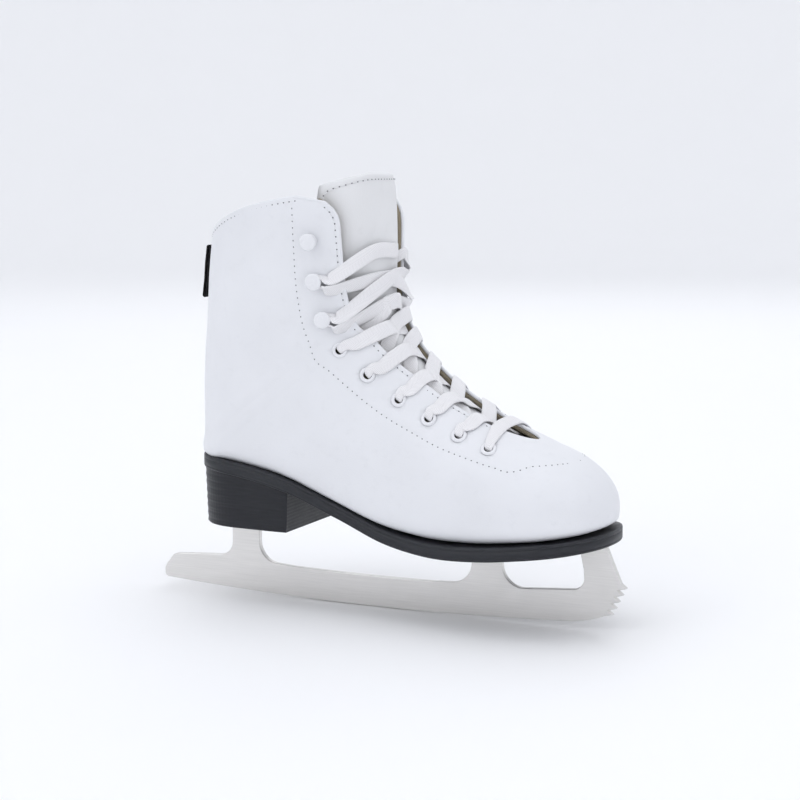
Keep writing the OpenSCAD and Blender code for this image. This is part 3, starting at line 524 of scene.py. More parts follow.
class Finish:
    """A procedural material, made from expressions on its coordinates."""

    def __init__(self, name):
        self.material = bpy.data.materials.new(name)
        self.material.use_nodes = True
        self.tree = self.material.node_tree
        self.tree.nodes.clear()
        self.shader = self.tree.nodes.new("ShaderNodeBsdfPrincipled")
        out = self.tree.nodes.new("ShaderNodeOutputMaterial")
        self.tree.links.new(self.shader.outputs[0], out.inputs[0])

    def feed(self, socket, value):
        if isinstance(value, Value):
            self.tree.links.new(value.socket, socket)
        elif isinstance(value, (int, float)):
            socket.default_value = value
        else:
            socket.default_value = tuple(value) + (1.0,) * (len(socket.default_value) - len(value))

    def node(self, kind, settings=None, inputs=None, out=0):
        """Any other node: its settings first, then the values or links of its sockets."""
        made = self.tree.nodes.new(kind)
        for name, value in (settings or {}).items():
            setattr(made, name, value)
        for key, value in (inputs or {}).items():
            self.feed(made.inputs[key], value)
        return Value(self, made.outputs[out])

    def place(self, stretch=(1, 1, 1), turn=(0, 0, 0)):
        """Object coordinates in metres, stretched and turned."""
        where = self.node("ShaderNodeTexCoord", out=3)
        return self.node("ShaderNodeMapping", {}, {0: where, 2: turn, 3: stretch})

    def sides(self):
        """The two coordinates of the piece's own UV map, in metres."""
        where = self.node("ShaderNodeTexCoord", out=2)
        parts = self.node("ShaderNodeSeparateXYZ", {}, {0: where})
        return parts, Value(self, parts.socket.node.outputs[1])

    def noise(self, scale, detail=2.0, rough=0.5, where=None):
        return self.node("ShaderNodeTexNoise", {}, {
            0: where or self.place(), "Scale": scale, "Detail": detail, "Roughness": rough})

    def cells(self, scale):
        return self.node("ShaderNodeTexVoronoi", {"feature": "F1"}, {0: self.place(), "Scale": scale})

    def between(self, value, low, high):
        """Clamps a value's span from low to high into 0 to 1."""
        return self.node("ShaderNodeMapRange", {"clamp": True}, {0: value, 1: low, 2: high, 3: 0.0, 4: 1.0})

    def mix(self, share, a, b):
        return self.node("ShaderNodeMix", {"data_type": "RGBA"}, {0: share, 6: a, 7: b}, out=2)

    def relief(self, height, depth, over=None):
        inputs = {"Height": height, "Distance": depth, "Strength": 1.0}
        if over:
            inputs["Normal"] = over
        return self.node("ShaderNodeBump", {}, inputs)

    def finished(self, **values):
        """Sets the surface's sockets; underscores stand for the spaces in their names."""
        for name, value in values.items():
            self.feed(self.shader.inputs[name.replace("_", " ")], value)
        return self.material


def darker(shade, share):
    return tuple(c * share for c in shade)


# ---- finishes ----


@lru_cache(maxsize=None)
def smooth_leather(name, shade, creases=0.0006):
    """Coated leather: fine pores, faint scuffs and soft broad dents."""
    f = Finish(name)
    scuffs = f.noise(160, 5, 0.62)
    broad = f.noise(24, 2)
    pores = f.cells(1150)
    fine = f.noise(2100, 2)
    toned = f.mix(f.between(broad, 0.35, 0.7), shade, darker(shade, 0.965))
    worn = f.mix(f.between(scuffs, 0.56, 0.74) * 0.35, toned, darker(shade, 0.9))
    dents = f.relief(f.noise(38, 2.5), creases)
    grain = f.relief(pores * 0.6 + fine * 0.4, 0.00005, dents)
    return f.finished(Base_Color=worn, Roughness=f.between(scuffs, 0.2, 0.9) * 0.16 + 0.40, Normal=grain,
                      Specular_IOR_Level=0.42)


@lru_cache(maxsize=None)
def woven_cloth(name, shade, pitch=0.0011, relief=0.00012, dark=0.62, rough=0.9):
    """A plain weave that follows the piece's own UV map."""
    f = Finish(name)
    u, v = f.sides()
    over = u.waves(pitch) * v.waves(pitch * 2)
    beside = (u + pitch / 2).waves(pitch) * (v + pitch).waves(pitch * 2)
    weave = over + beside
    fuzz = f.noise(900, 3)
    # Painted shade: the weave is darker where its threads dip, down to dark times its colour, as the shade
    # between the threads. The fuzz below adds random mottling.
    weave_shade = f.mix(f.between(weave, 0.1, 0.9), darker(shade, dark), shade)
    toned = f.mix(f.between(fuzz, 0.35, 0.75) * 0.3, weave_shade, darker(shade, 0.75))
    normal = f.relief(weave * 0.8 + fuzz * 0.4, relief)
    return f.finished(Base_Color=toned, Roughness=f.between(fuzz, 0.2, 0.8) * 0.08 + rough - 0.04,
                      Normal=normal, Specular_IOR_Level=0.25)


@lru_cache(maxsize=None)
def lace_weave(shade):
    """A flat braid: slanting plaits that meet along the middle of the tape."""
    f = Finish("Lace weave")
    u, v = f.sides()
    slant = (v + u.size() * 0.9).waves(0.00105)
    ribs = u.waves(0.00068)
    fuzz = f.noise(1600, 3)
    plait = slant * 0.7 + ribs * 0.3
    # Painted shade: the braid is darker where the plaits dip, as the shade between them. The fuzz below
    # adds random mottling.
    weave_shade = f.mix(f.between(plait, 0.05, 0.75), darker(shade, 0.8), shade)
    toned = f.mix(f.between(fuzz, 0.4, 0.7) * 0.25, weave_shade, darker(shade, 0.9))
    return f.finished(Base_Color=toned, Roughness=f.between(fuzz, 0.2, 0.8) * 0.1 + 0.8,
                      Normal=f.relief(plait + fuzz * 0.3, 0.00016), Specular_IOR_Level=0.25)


@lru_cache(maxsize=None)
def moulded(name, shade, rough=0.45, grain=0.00004, dust=0.25):
    """Moulded rubber or plastic with a fine dull grain and a little dust."""
    f = Finish(name)
    fine = f.noise(1400, 3)
    marks = f.noise(90, 5, 0.65)
    pale = tuple(c * 1.5 + 0.006 for c in shade)
    toned = f.mix(f.between(marks, 0.5, 0.75) * dust, shade, pale)
    return f.finished(Base_Color=toned, Roughness=f.between(marks, 0.3, 0.75) * 0.14 + rough - 0.07,
                      Normal=f.relief(fine, grain), Specular_IOR_Level=0.32)


@lru_cache(maxsize=None)
def ground_steel(name, shade, rough=0.34, run=(30, 30, 1500)):
    """Steel with the fine even scratches of a grinding belt."""
    f = Finish(name)
    lines = f.noise(1.0, 4, 0.7, f.place(run))
    clouds = f.noise(45, 4, 0.6)
    toned = f.mix(f.between(lines, 0.25, 0.8), darker(shade, 0.86), shade)
    dulled = f.mix(f.between(clouds, 0.42, 0.72) * 0.3, toned, darker(shade, 0.9))
    return f.finished(Base_Color=dulled, Metallic=1.0, Normal=f.relief(lines, 0.00003),
                      Roughness=f.between(clouds, 0.3, 0.75) * 0.12 + lines * 0.08 + rough - 0.06)


@lru_cache(maxsize=None)
def enamel(name, shade, rough=0.26):
    """Gloss paint on small metal parts, thin and a little uneven."""
    f = Finish(name)
    uneven = f.noise(500, 3)
    rubbed = f.noise(220, 4, 0.6)
    toned = f.mix(f.between(rubbed, 0.55, 0.78) * 0.4, shade, darker(shade, 0.82))
    return f.finished(Base_Color=toned, Roughness=f.between(rubbed, 0.3, 0.8) * 0.12 + rough - 0.05,
                      Normal=f.relief(uneven, 0.00005), Coat_Weight=0.25)


@lru_cache(maxsize=None)
def fibrous(name, shade, stretch=(1, 1, 1), relief=0.00012, rough=0.85):
    """Felted fibre, cut foam or split leather."""
    f = Finish(name)
    fibres = f.noise(700, 4, 0.65, f.place(stretch))
    specks = f.noise(120, 4, 0.6)
    toned = f.mix(f.between(fibres, 0.3, 0.7), darker(shade, 0.78), shade)
    mottled = f.mix(f.between(specks, 0.5, 0.75) * 0.4, toned, darker(shade, 0.7))
    return f.finished(Base_Color=mottled, Roughness=f.between(specks, 0.2, 0.8) * 0.08 + rough - 0.04,
                      Normal=f.relief(fibres, relief), Specular_IOR_Level=0.25)


def boot_leather():
    return smooth_leather("White leather", tuple(sizes("skate_leather").shade))


def tongue_leather():
    return smooth_leather("Tongue leather", tuple(sizes("skate_leather").tongue_shade), 0.0009)


def thread():
    return woven_cloth("Thread", (0.84, 0.845, 0.86), 0.0005, 0.00005, 0.9)


# Painted shade: the needle holes' dark grey stands in for the shade inside them.
def needle_hole_shade():
    return fibrous("Needle hole shade", (0.20, 0.205, 0.22))


# Painted shade: the eyelet barrels' inner walls are painted near black, standing in for the shade inside
# each lace hole.
def barrel_painted_shade():
    return ground_steel("Barrel painted shade", (0.022, 0.022, 0.024), 0.42, (300, 300, 300))


# ---- camera and studio ----

# Lens and sensor in millimetres, the view's angles, and its target and distance in metres
LENS, SENSOR = 83.8, 36
VIEW_ROUND, VIEW_UP = 24.9, 7.4
VIEW_AT, VIEW_FROM = (0.0107, 0.0, 0.125), 1.0925
# Radius of the level floor, and the radius at which its edge turns up, in millimetres
FLOOR_R, TURN_R = 3200, 1800
# Each lamp's name, place and size in metres, and power in watts
LAMPS = (
    ("Key", (-1.3, -2.2, 1.9), 1.6, 9.5),
    ("Fill", (2.0, -1.7, 0.9), 1.8, 4.2),
    ("Back", (-0.6, 2.0, 1.6), 1.6, 5.2),
    ("Top", (0.1, -0.1, 2.3), 1.8, 5.2),
)


class SKATE_OT_camera(bpy.types.Operator):
    """Sets the camera in front of the skate, a little above the ankle"""

    bl_idname = "skate.camera"
    bl_label = "Camera"

    def execute(self, context):
        lens = bpy.data.cameras.new("Camera")
        lens.lens, lens.sensor_width = LENS, SENSOR
        lens.clip_start = 0.05
        camera = bpy.data.objects.new("Camera", lens)
        context.scene.collection.objects.link(camera)
        around, up = math.radians(VIEW_ROUND), math.radians(VIEW_UP)
        target = Vector(VIEW_AT)
        away = Vector((math.sin(around) * math.cos(up), -math.cos(around) * math.cos(up), math.sin(up)))
        camera.location = target + away * VIEW_FROM
        camera.rotation_euler = (-away).to_track_quat("-Z", "Y").to_euler()
        context.scene.camera = camera
        return {"FINISHED"}


class SKATE_OT_studio(bpy.types.Operator):
    """Makes the pale floor with its raised surround, and the soft lights"""

    bl_idname = "skate.studio"
    bl_label = "Studio"

    def execute(self, context):
        scene = context.scene
        scene.view_settings.view_transform = "Standard"
        bm = bmesh.new()
        rise = [(FLOOR_R + TURN_R * math.sin(q), TURN_R * (1 - math.cos(q)) - 0.5)
                for q in steps(0, math.pi / 2, 16)]
        turned(bm, [(0.0, -0.5)] + rise + [(FLOOR_R + TURN_R, 5200)], Matrix(), 96)
        bmesh.ops.reverse_faces(bm, faces=bm.faces)
        f = Finish("Studio floor")
        paint = f.mix(f.noise(6, 2), (0.93, 0.932, 0.94), (0.92, 0.922, 0.93))
        f.finished(Base_Color=paint, Roughness=0.75, Emission_Color=(1, 1, 1), Emission_Strength=0.03)
        floor = piece("Floor", bm, [f.material], body=None)

        world = bpy.data.worlds.new("Studio")
        world.use_nodes = True
        world.node_tree.nodes["Background"].inputs[0].default_value = (0.93, 0.95, 1.0, 1)
        world.node_tree.nodes["Background"].inputs[1].default_value = 0.98
        scene.world = world
        for name, place, size, power in LAMPS:
            light = bpy.data.lights.new(name, "AREA")
            light.size = size
            light.energy = power
            light.color = (0.985, 0.99, 1.0)
            lamp = bpy.data.objects.new(name, light)
            lamp.location = place
            lamp.rotation_euler = (Vector((0, 0, 0.12)) - Vector(place)).to_track_quat("-Z", "Y").to_euler()
            scene.collection.objects.link(lamp)
        return {"FINISHED"}


# ---- the boot's leather ----

# Height of one row near the collar, radius of the lace holes, and the strip and loop at the back
ROW_STEP = 18
HOLE_R = 2.9
STRIP_LOW, STRIP_W, STRIP_RISE = 7.6, 12, 0.62
LOOP_ROW, LOOP_TALL, LOOP_W, LOOP_T = 10.95, 32.0, 13.0, 0.95
BODY_ROWS = [THROAT_ROW + (COLLAR - THROAT_ROW) * (i / 92) ** 1.5 for i in range(93)]
UPPER_ROWS = steps(-1, 0, 16) + BODY_ROWS


def edge_at(t, side):
    """The throat's edge, or the middle of the toe below it."""
    return throat_edge(t, side) if t > THROAT_ROW else 0.0


def side_angles(t, side):
    """Angles of the leather's columns from the throat's edge to the back, closer together at the seams."""
    e = edge_at(t, side)
    s = seam_angle(max(t, THROAT_ROW), side)
    one = min(degrees_for(max(t, -0.7), s, 1.0), 4.0)
    near = [e + one * d for d in (0, 0.7, 1.4, 2.1, 3.0)]
    inner = steps(near[-1], max(s - 2 * one, near[-1] + 2), 10)[1:]
    seam = [max(s + one * d, inner[-1] + 0.2 * (k + 1)) for k, d in enumerate((-1, 0, 1, 2))]
    return near + inner + seam + steps(seam[-1], 180, 24)[1:]


def ring_angles(t):
    """Angles of one row's columns, from the lateral edge round the back to the medial."""
    lateral = side_angles(t, 1)
    return lateral + [360 - a for a in reversed(side_angles(t, -1)[:-1])]


def leather_sink(t, a):
    """How far the leather lies under the last: valleys at the seams, creases at the ankle, soft dents."""
    side = 1 if a <= 180 else -1
    turn = min(a, 360 - a)
    depth = 0.0
    if t > THROAT_ROW:
        arc = 1 / max(degrees_for(t, a, 1.0), 0.01)
        from_edge = (turn - throat_edge(t, side)) * arc
        from_seam = (turn - seam_angle(t, side)) * arc
        depth += 0.10 * math.exp(-((from_edge - 2.1) / 0.9) ** 2) * clamped((t - 0.4) * 2)
        depth += 0.16 * math.exp(-(from_seam / 0.9) ** 2) * clamped((t - 0.55) * 2)
    depth += 0.2 * math.exp(-((COLLAR - t) * ROW_STEP - 2.1) ** 2) if t > 11 else 0.0
    ankle = math.exp(-((t - 7.1) / 0.8) ** 2) * clamped((turn - 60) / 40)
    depth += 0.35 * ankle * math.sin(t * 9 + a * 0.05)
    p = surf(t, a)
    depth += 0.30 * noise.noise(p / 24) + 0.14 * noise.noise(p / 9)
    return depth


def opening_path():
    """The leather's edge round the throat and the collar: (row, angle) pairs, from the throat's front."""
    up = [(t, edge_at(t, 1)) for t in BODY_ROWS]
    last = ring_angles(COLLAR)
    over = [(COLLAR, a) for a in last[1:-1]]
    down = [(t, 360 - edge_at(t, -1)) for t in reversed(BODY_ROWS)]
    return up + over + down[:-1]


def roll_ring(k, path):
    """Position, normal and outward direction of one point on the opening's edge."""
    t, a = path[k]
    p = under(t, a, leather_sink(t, a))
    before, after = path[k - 1], path[(k + 1) % len(path)]
    run = surf(*after) - surf(*before)
    n = normal(t, a)
    return p, n, run.cross(n).normalized()


class SKATE_OT_upper(bpy.types.Operator):
    """Makes the leather upper with its turned edges and lace holes"""

    bl_idname = "skate.upper"
    bl_label = "Upper"

    def execute(self, context):
        bm = bmesh.new()
        columns = len(ring_angles(6))
        angles = [ring_angles(t) for t in UPPER_ROWS]

        def place(i, j):
            t, a = UPPER_ROWS[i], angles[i][j]
            return under(t, a, leather_sink(t, a) if t > -0.99 else 0.0)

        grid(bm, len(UPPER_ROWS), columns, place, outward=False)
        path = opening_path()
        rings = [roll_ring(k, path) for k in range(len(path))]
        turns = steps(0, math.pi, 8)

        def roll(i, j):
            p, n, b = rings[i % len(rings)]
            if j < len(turns):
                return p + (b * math.sin(turns[j]) - n * (1 - math.cos(turns[j]))) * ROLL_R
            return p - n * 2 * ROLL_R - b * 0.9

        grid(bm, len(path) + 1, len(turns) + 1, roll, outward=True)
        merged(bm, 0.02)
        for side in (1, -1):
            for t in HOLE_ROWS[:EYELETS]:
                a = hole_angle(t, side)
                open_hole(bm, under(t, side * a, leather_sink(t, a)), HOLE_R)
        made = walled(piece("Upper", bm, [boot_leather()]), sizes("skate_leather").sheet_t)
        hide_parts("upper")
        return {"FINISHED"}


class SKATE_OT_stitching(bpy.types.Operator):
    """Sews the seams of the leather, stitch by stitch"""

    bl_idname = "skate.stitching"
    bl_label = "Stitching"

    def execute(self, context):
        leather = sizes("skate_leather")
        pitch, thick = leather.pitch / MM, leather.thread / MM
        bm = bmesh.new()

        def on_leather(t, a):
            return under(t, a, leather_sink(t, a % 360) - 0.03), normal(t, a)

        front = [(t, 58 * math.sqrt(max(1 - ((0.55 - t) / 0.85) ** 2, 0))) for t in steps(0.55, -0.3, 24)]
        rise = steps(COLLAR - 0.1, 0.6, 120)
        lateral = [(t, seam_angle(t, 1)) for t in rise]
        medial = [(t, -seam_angle(t, -1)) for t in reversed(rise)]
        seam = lateral + front + [(t, -a) for t, a in reversed(front[:-1])] + medial
        sew(bm, [on_leather(t, a) for t, a in seam], pitch, thick)

        inset = leather.edge_seam / MM
        path = opening_path()[2:-2]
        edge = []
        for k in range(1, len(path) - 1):
            t, a = path[k]
            run = surf(*path[k + 1]) - surf(*path[k - 1])
            n = normal(t, a)
            edge.append((surf(t, a) - n * 0.05 - run.cross(n).normalized() * inset, n))
        sew(bm, edge, pitch, thick)
        for side in (1, -1):
            rows = steps(STRIP_LOW + 0.15, COLLAR - 0.16, 60)
            strip = [(t, 180 + side * degrees_for(t, 180, STRIP_W / 2 - 1.4)) for t in rows]
            sew(bm, [(under(t, a, -STRIP_RISE), normal(t, a)) for t, a in strip], pitch, thick)
        made = piece("Stitching", bm, [thread(), needle_hole_shade()])
        return {"FINISHED"}


class SKATE_OT_backstay(bpy.types.Operator):
    """Makes the strip over the back seam and the webbing pull loop"""

    bl_idname = "skate.backstay"
    bl_label = "Backstay and pull loop"

    def execute(self, context):
        bm = bmesh.new()
        rows = steps(STRIP_LOW, COLLAR - 0.02, 70)

        def place(i, j):
            t = rows[i]
            across = (j / 8 - 0.5) * STRIP_W
            rim = 0.45 * (1 - clamped((STRIP_W / 2 - abs(across)) / 0.9)) ** 2
            a = 180 + degrees_for(t, 180, across)
            return under(t, a, leather_sink(t, a) * 0.5 - STRIP_RISE + rim)

        grid(bm, len(rows), 9, place, outward=False)
        strip = walled(piece("Backstay", bm, [boot_leather()]), 0.0007)
        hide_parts("backstay")

        low, high = mm_box("pull_loop")
        n, up = normal(LOOP_ROW, 180), along(LOOP_ROW, 180)
        centre = (low + high) / 2
        half = (high - low).y / 2
        bend = 0.55 + LOOP_T
        side = Vector((0, 1, 0))
        ring = []
        for k in range(64):
            q = 2 * math.pi * k / 64
            c, s = math.cos(q), math.sin(q)
            if abs(s) > 0.3:
                ring.append((bend * c, math.copysign(LOOP_TALL / 2 - bend, s) + bend * s))
            else:
                ring.append((math.copysign(bend * 0.954, c), s / 0.3 * (LOOP_TALL / 2 - bend * 0.7)))
        bm = bmesh.new()

        def webbing(i, j):
            out, z = ring[i % 64]
            across = (j / 12 - 0.5) * 2 * half
            return centre + n * (out + 0.15 * math.sin(z * 0.35)) + up * z + side * across

        grid(bm, 65, 13, webbing, wrap=(LOOP_W * MM, 2.1 * LOOP_TALL * MM))
        merged(bm, 0.01)
        bmesh.ops.recalc_face_normals(bm, faces=bm.faces)
        tape = woven_cloth("Black webbing", tuple(sizes("skate_lace").webbing), 0.0016, 0.0003, 0.45)
        loop = walled(piece("Pull_loop", bm, [tape]), LOOP_T * MM)
        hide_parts("pull_loop")
        return {"FINISHED"}


# ---- inside the boot ----

PAD_LOW, PAD_HIGH = 9.2, 11.7
# The lining's sheet: its width in metres, and the share of it that the cut cloth takes up
FLAT_W, CUT_SHARE = 0.30, 0.85
# The footbed's first and last rows, its share of the boot's width, and its thickness
BED_FRONT, BED_BACK, BED_SHARE, BED_T = -0.62, 6.8, 0.68, 3.5


def lining_depth(t, a):
    """How far the lining lies under the last, deeper over the foam."""
    side = 1 if a < 180 else -1
    level = clamped((t - PAD_LOW) * 1.4) * clamped((PAD_HIGH - t) * 1.4)
    turn = clamped((180 - abs(180 - a) - seam_angle(max(t, THROAT_ROW), side) - 4) / 8)
    return LINING_OUT + (LINING_SWOLLEN - LINING_OUT) * level * turn


class SKATE_OT_lining(bpy.types.Operator):
    """Makes the woven lining, the foam round the ankle and the footbed"""

    bl_idname = "skate.lining"
    bl_label = "Lining"

    def execute(self, context):
        leather = sizes("skate_leather")
        cloth = woven_cloth("Tan lining", tuple(leather.lining_shade))
        rows = [t for t in steps(-0.8, 0, 8) + BODY_ROWS[1::2] if t < COLLAR - 0.24]
        rows += [COLLAR - 0.2, COLLAR - 0.17, COLLAR - 0.14, COLLAR - 0.11]
        columns = 80
        lay = [q - 0.03 * math.sin(4 * math.pi * q) * 0.5 for q in steps(0, 1, columns)]
        lay = [0, 0.002, 0.005, 0.009] + lay[2:-2] + [0.991, 0.995, 0.998, 1]

        def at(t, j, depth):
            e = edge_at(t, 1), edge_at(t, -1)
            a = e[0] + (360 - e[0] - e[1]) * lay[j]
            arc = 1 / max(degrees_for(t, a, 1.0), 0.01)
            near = min(a - e[0], 360 - e[1] - a) * arc if t > THROAT_ROW else 9
            near = min(near, (COLLAR - t) * ROW_STEP)
            return under(t, a, depth(t, a) - 2.0 * (1 - clamped(near / 1.7)) ** 2)

        bm = bmesh.new()
        grid(bm, len(rows), len(lay), lambda i, j: at(rows[i], j, lambda t, a: lining_depth(t, a) + 0.1),
             outward=False, wrap=(0.19, 0.33))
        merged(bm, 0.02)
        area = sum(f.calc_area() for f in bm.faces)
        lining = walled(piece("Lining", bm, [cloth]), 0.0006)
        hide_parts("lining")
        round(area / FLAT_W / CUT_SHARE, 3)

        bm = bmesh.new()
        pad_rows = steps(PAD_LOW, PAD_HIGH, 20)
        across = 32

        def foam(i, j):
            t = pad_rows[i]
            a, b = seam_angle(t, 1) + 9, seam_angle(t, -1) + 9
            inner = j > across
            turn = a + (360 - a - b) * ((2 * across + 1 - j) if inner else j) / across
            depth = lining_depth(t, turn) - 0.5 if inner else INNER_FROM + 0.02
            return under(t, turn, max(depth, INNER_FROM + 0.1) if inner else depth)

        ringed(bm, grid(bm, len(pad_rows), 2 * across + 2, foam), 2 * across + 2)
        closed_up(bm)
        pad = piece("Ankle_foam", bm, [fibrous("Foam", (0.72, 0.66, 0.46))])
        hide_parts("ankle_padding")

        bm = bmesh.new()
        bed_rows = steps(BED_FRONT, BED_BACK, 60)
        broad = 16

        def bed(i, j):
            t = bed_rows[i]
            inner = j > broad
            f = (2 * broad + 1 - j if inner else j) / broad
            reach = math.degrees(math.asin(BED_SHARE ** (row(t)[8] / 2)))
            reach *= math.sqrt(1 - 0.85 * clamped(t - BED_BACK + 1) ** 2)
            rim = 0.4 * (2 * f - 1) ** 6
            return under(t, 180 + (2 * f - 1) * reach, QUARTER_IN + 0.6 + (BED_T - rim if inner else rim))

        ringed(bm, grid(bm, len(bed_rows), 2 * broad + 2, bed, wrap=(0.13, 0.26)), 2 * broad + 2)
        closed_up(bm)
        footbed = piece("Footbed", bm, [woven_cloth("Footbed cloth", (0.30, 0.30, 0.31))])
        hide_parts("footbed")
        return {"FINISHED"}


# ---- tongue ----

TONGUE_ROOT = THROAT_ROW - 0.35
TONGUE_TIP = COLLAR + 0.8


def tongue_half(t):
    """Half the tongue's width, in degrees."""
    reach = spline(TONGUE_ANGLES, t) * math.sqrt(clamped((t - TONGUE_ROOT + 0.25) / 0.8))
    if t > COLLAR + 0.12:
        reach *= math.sqrt(1 - 0.75 * ((t - COLLAR - 0.12) / 0.68) ** 3)
    return reach


def tongue_fall(t, share):
    """How many rows the tongue's top edge drops, from its middle to its lateral and medial corners."""
    fall = 0.55 * share ** 1.6 if share > 0 else 0.25 * (-share) ** 3
    return fall * clamped((t - 11.4) / 1.4) ** 1.5


def tongue_puff(t, share):
    """How far the tongue's face stands proud: fuller in the middle, and wrinkled low down."""
    crown = 0.9 * (1 - share * share)
    wrinkles = 0.35 * math.exp(-((t - 1.2) / 1.3) ** 2) * math.sin(t * 14 + 2 * share)
    folds = 0.3 * math.exp(-((t - 6.8) / 1.2) ** 2) * math.sin(t * 8 + share)
    return crown + wrinkles + folds


class SKATE_OT_tongue(bpy.types.Operator):
    """Makes the padded tongue as one piece that bends above the collar"""

    bl_idname = "skate.tongue"
    bl_label = "Tongue"

    def execute(self, context):
        bm = bmesh.new()
        rows = steps(TONGUE_ROOT, 11, 76) + steps(11, TONGUE_TIP, 26)[1:]
        across = 30
        ring = [(2 * k / across - 1, 0.0) for k in range(across + 1)]
        ring += [(1 - 2 * k / across, 1.0) for k in range(across + 1)]

        def place(i, j):
            share, inner = ring[j]
            t = rows[i] - tongue_fall(rows[i], share)
            end = clamped((TONGUE_TIP - rows[i]) / 0.05)
            thin = 0.38 + 0.62 * clamped((TONGUE_TIP - rows[i]) / 0.5) ** 0.7
            thick = (TONGUE_IN - TONGUE_OUT) * thin * (0.15 + 0.85 * math.sqrt(1 - (1 - end) ** 2))
            round_off = math.sqrt(max(1 - share ** 6, 0)) * (0.42 + 0.58 * clamped((1 - abs(share)) * 4))
            mid = TONGUE_OUT + (TONGUE_IN - TONGUE_OUT) * 0.42
            face = -0.42 * thick * round_off - tongue_puff(t, share) * round_off * end
            back = 0.58 * thick * round_off
            a = middle(t) + share * tongue_half(t)
            return under(t, a, mid + (back if inner else face))

        ringed(bm, grid(bm, len(rows), len(ring), place, wrap=(0.16, 0.21)), len(ring))
        merged(bm, 0.02)
        closed_up(bm)
        tongue = piece("Tongue", bm, [tongue_leather()], body=None)
        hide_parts("tongue_cover", "tongue_flap", "tongue_padding", "tongue_flap_padding")
        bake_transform(tongue)

        bm = bmesh.new()
        inset = 3.6
        left = [(t, -1) for t in steps(8.6, TONGUE_TIP - 0.24, 40)]
        over = [(TONGUE_TIP - 0.24 + 0.04 * (1 - s * s), s) for s in steps(-1, 1, 24)][1:-1]
        right = [(t, 1) for t, _ in reversed(left)]
        seam = []
        for t, share in left + over + right:
            half = tongue_half(t) - degrees_for(t, tongue_half(t), inset)
            t -= tongue_fall(t, share * half / tongue_half(t))
            a = middle(t) + share * half
            puff = tongue_puff(t, share * half / tongue_half(t))
            seam.append((under(t, a, TONGUE_OUT - puff - 0.02), normal(t, a)))
        leather = sizes("skate_leather")
        sew(bm, seam, leather.pitch / MM, leather.thread / MM)
        stitches = piece("Tongue_stitching", bm, [thread(), needle_hole_shade()], body=None)
        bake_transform(stitches)
        return {"FINISHED"}


# ---- lace and fastenings ----

# Height of a hook's neck, depth of the lace behind the leather, and depths at which its two ends cross
NECK_MID = 2.95
UNDER = 5.8
LATERAL_MID, MEDIAL_MID = 4.1, 5.5
# Widths of the stops where the lace is drawn into an eyelet and where it lies flat
STOP_DRAWN, STOP_FLAT = 4.3, 8.2


def lace_stop(t, a, depth, width):
    """One stop on the lace's way: its point, its wide direction and its width."""
    return under(t, a, depth), along(t, a), width


def lace_crossing(i, side, mid):
    """From inside one lace hole, over the tongue and the far edge, and into the next hole up."""
    t, u = HOLE_ROWS[i], HOLE_ROWS[i + 1]
    over = u - (0.35 if side < 0 else 0) * (u - t)
    centre = (t + over) / 2
    a, e = side * hole_angle(t, side), side * throat_edge(t, side)
    f, b = -side * throat_edge(over, -side), -side * hole_angle(u, -side)
    m = middle(centre)
    return [
        lace_stop(t, a, UNDER, 4.8),
        lace_stop(t, (a + e) / 2, UNDER, 6.4),
        lace_stop(t + 0.05 * (centre - t), e * 0.92, UNDER + 0.1, 8),
        lace_stop((t + centre) / 2, (e * 0.9 + m) / 2, (UNDER + mid) / 2 - 0.5, 8.2),
        lace_stop(centre, m, mid, 8.2),
        lace_stop((centre + over) / 2, (f * 0.95 + m) / 2, (mid - 1.5) / 2 - 0.4, 8.2),
        lace_stop(over, f * 0.97, -1.0, 8.2),
        lace_stop(over + 0.4 * (u - over), (f + b) / 2, -0.95, 7.6),
        lace_stop(u, b + (f - b) * 0.22, -1.35, 5.6),
        lace_stop(u, b, -0.2, 4.5),
        lace_stop(u, b, 3.2, 4.3),
    ]


def hook_round(i, side):
    """Round a hook's neck, from below to above, with the tape standing on its edge."""
    t = HOLE_ROWS[i]
    a = side * hole_angle(t, side)
    p, n, u = under(t, a, -NECK_MID), normal(t, a), along(t, a)
    back = n.cross(u) * side
    lean = (u + n * 0.6).normalized()
    tall = (n + u * 0.3).normalized()
    return [
        (p - back * 11 - u * 3.6 - n * 0.8, lean, 7.4),
        (p - back * 5 - u * 3.0 - n * 0.2, tall, 5.0),
        (p + back * 1.0 - u * 2.75, n, 3.2),
        (p + back * 2.85, n, 3.1),
        (p + back * 1.0 + u * 2.75, n, 3.2),
        (p - back * 5 + u * 3.0 - n * 0.2, (n - u * 0.3).normalized(), 5.0),
        (p - back * 11 + u * 3.6 - n * 0.8, (u - n * 0.6).normalized(), 7.4),
    ]


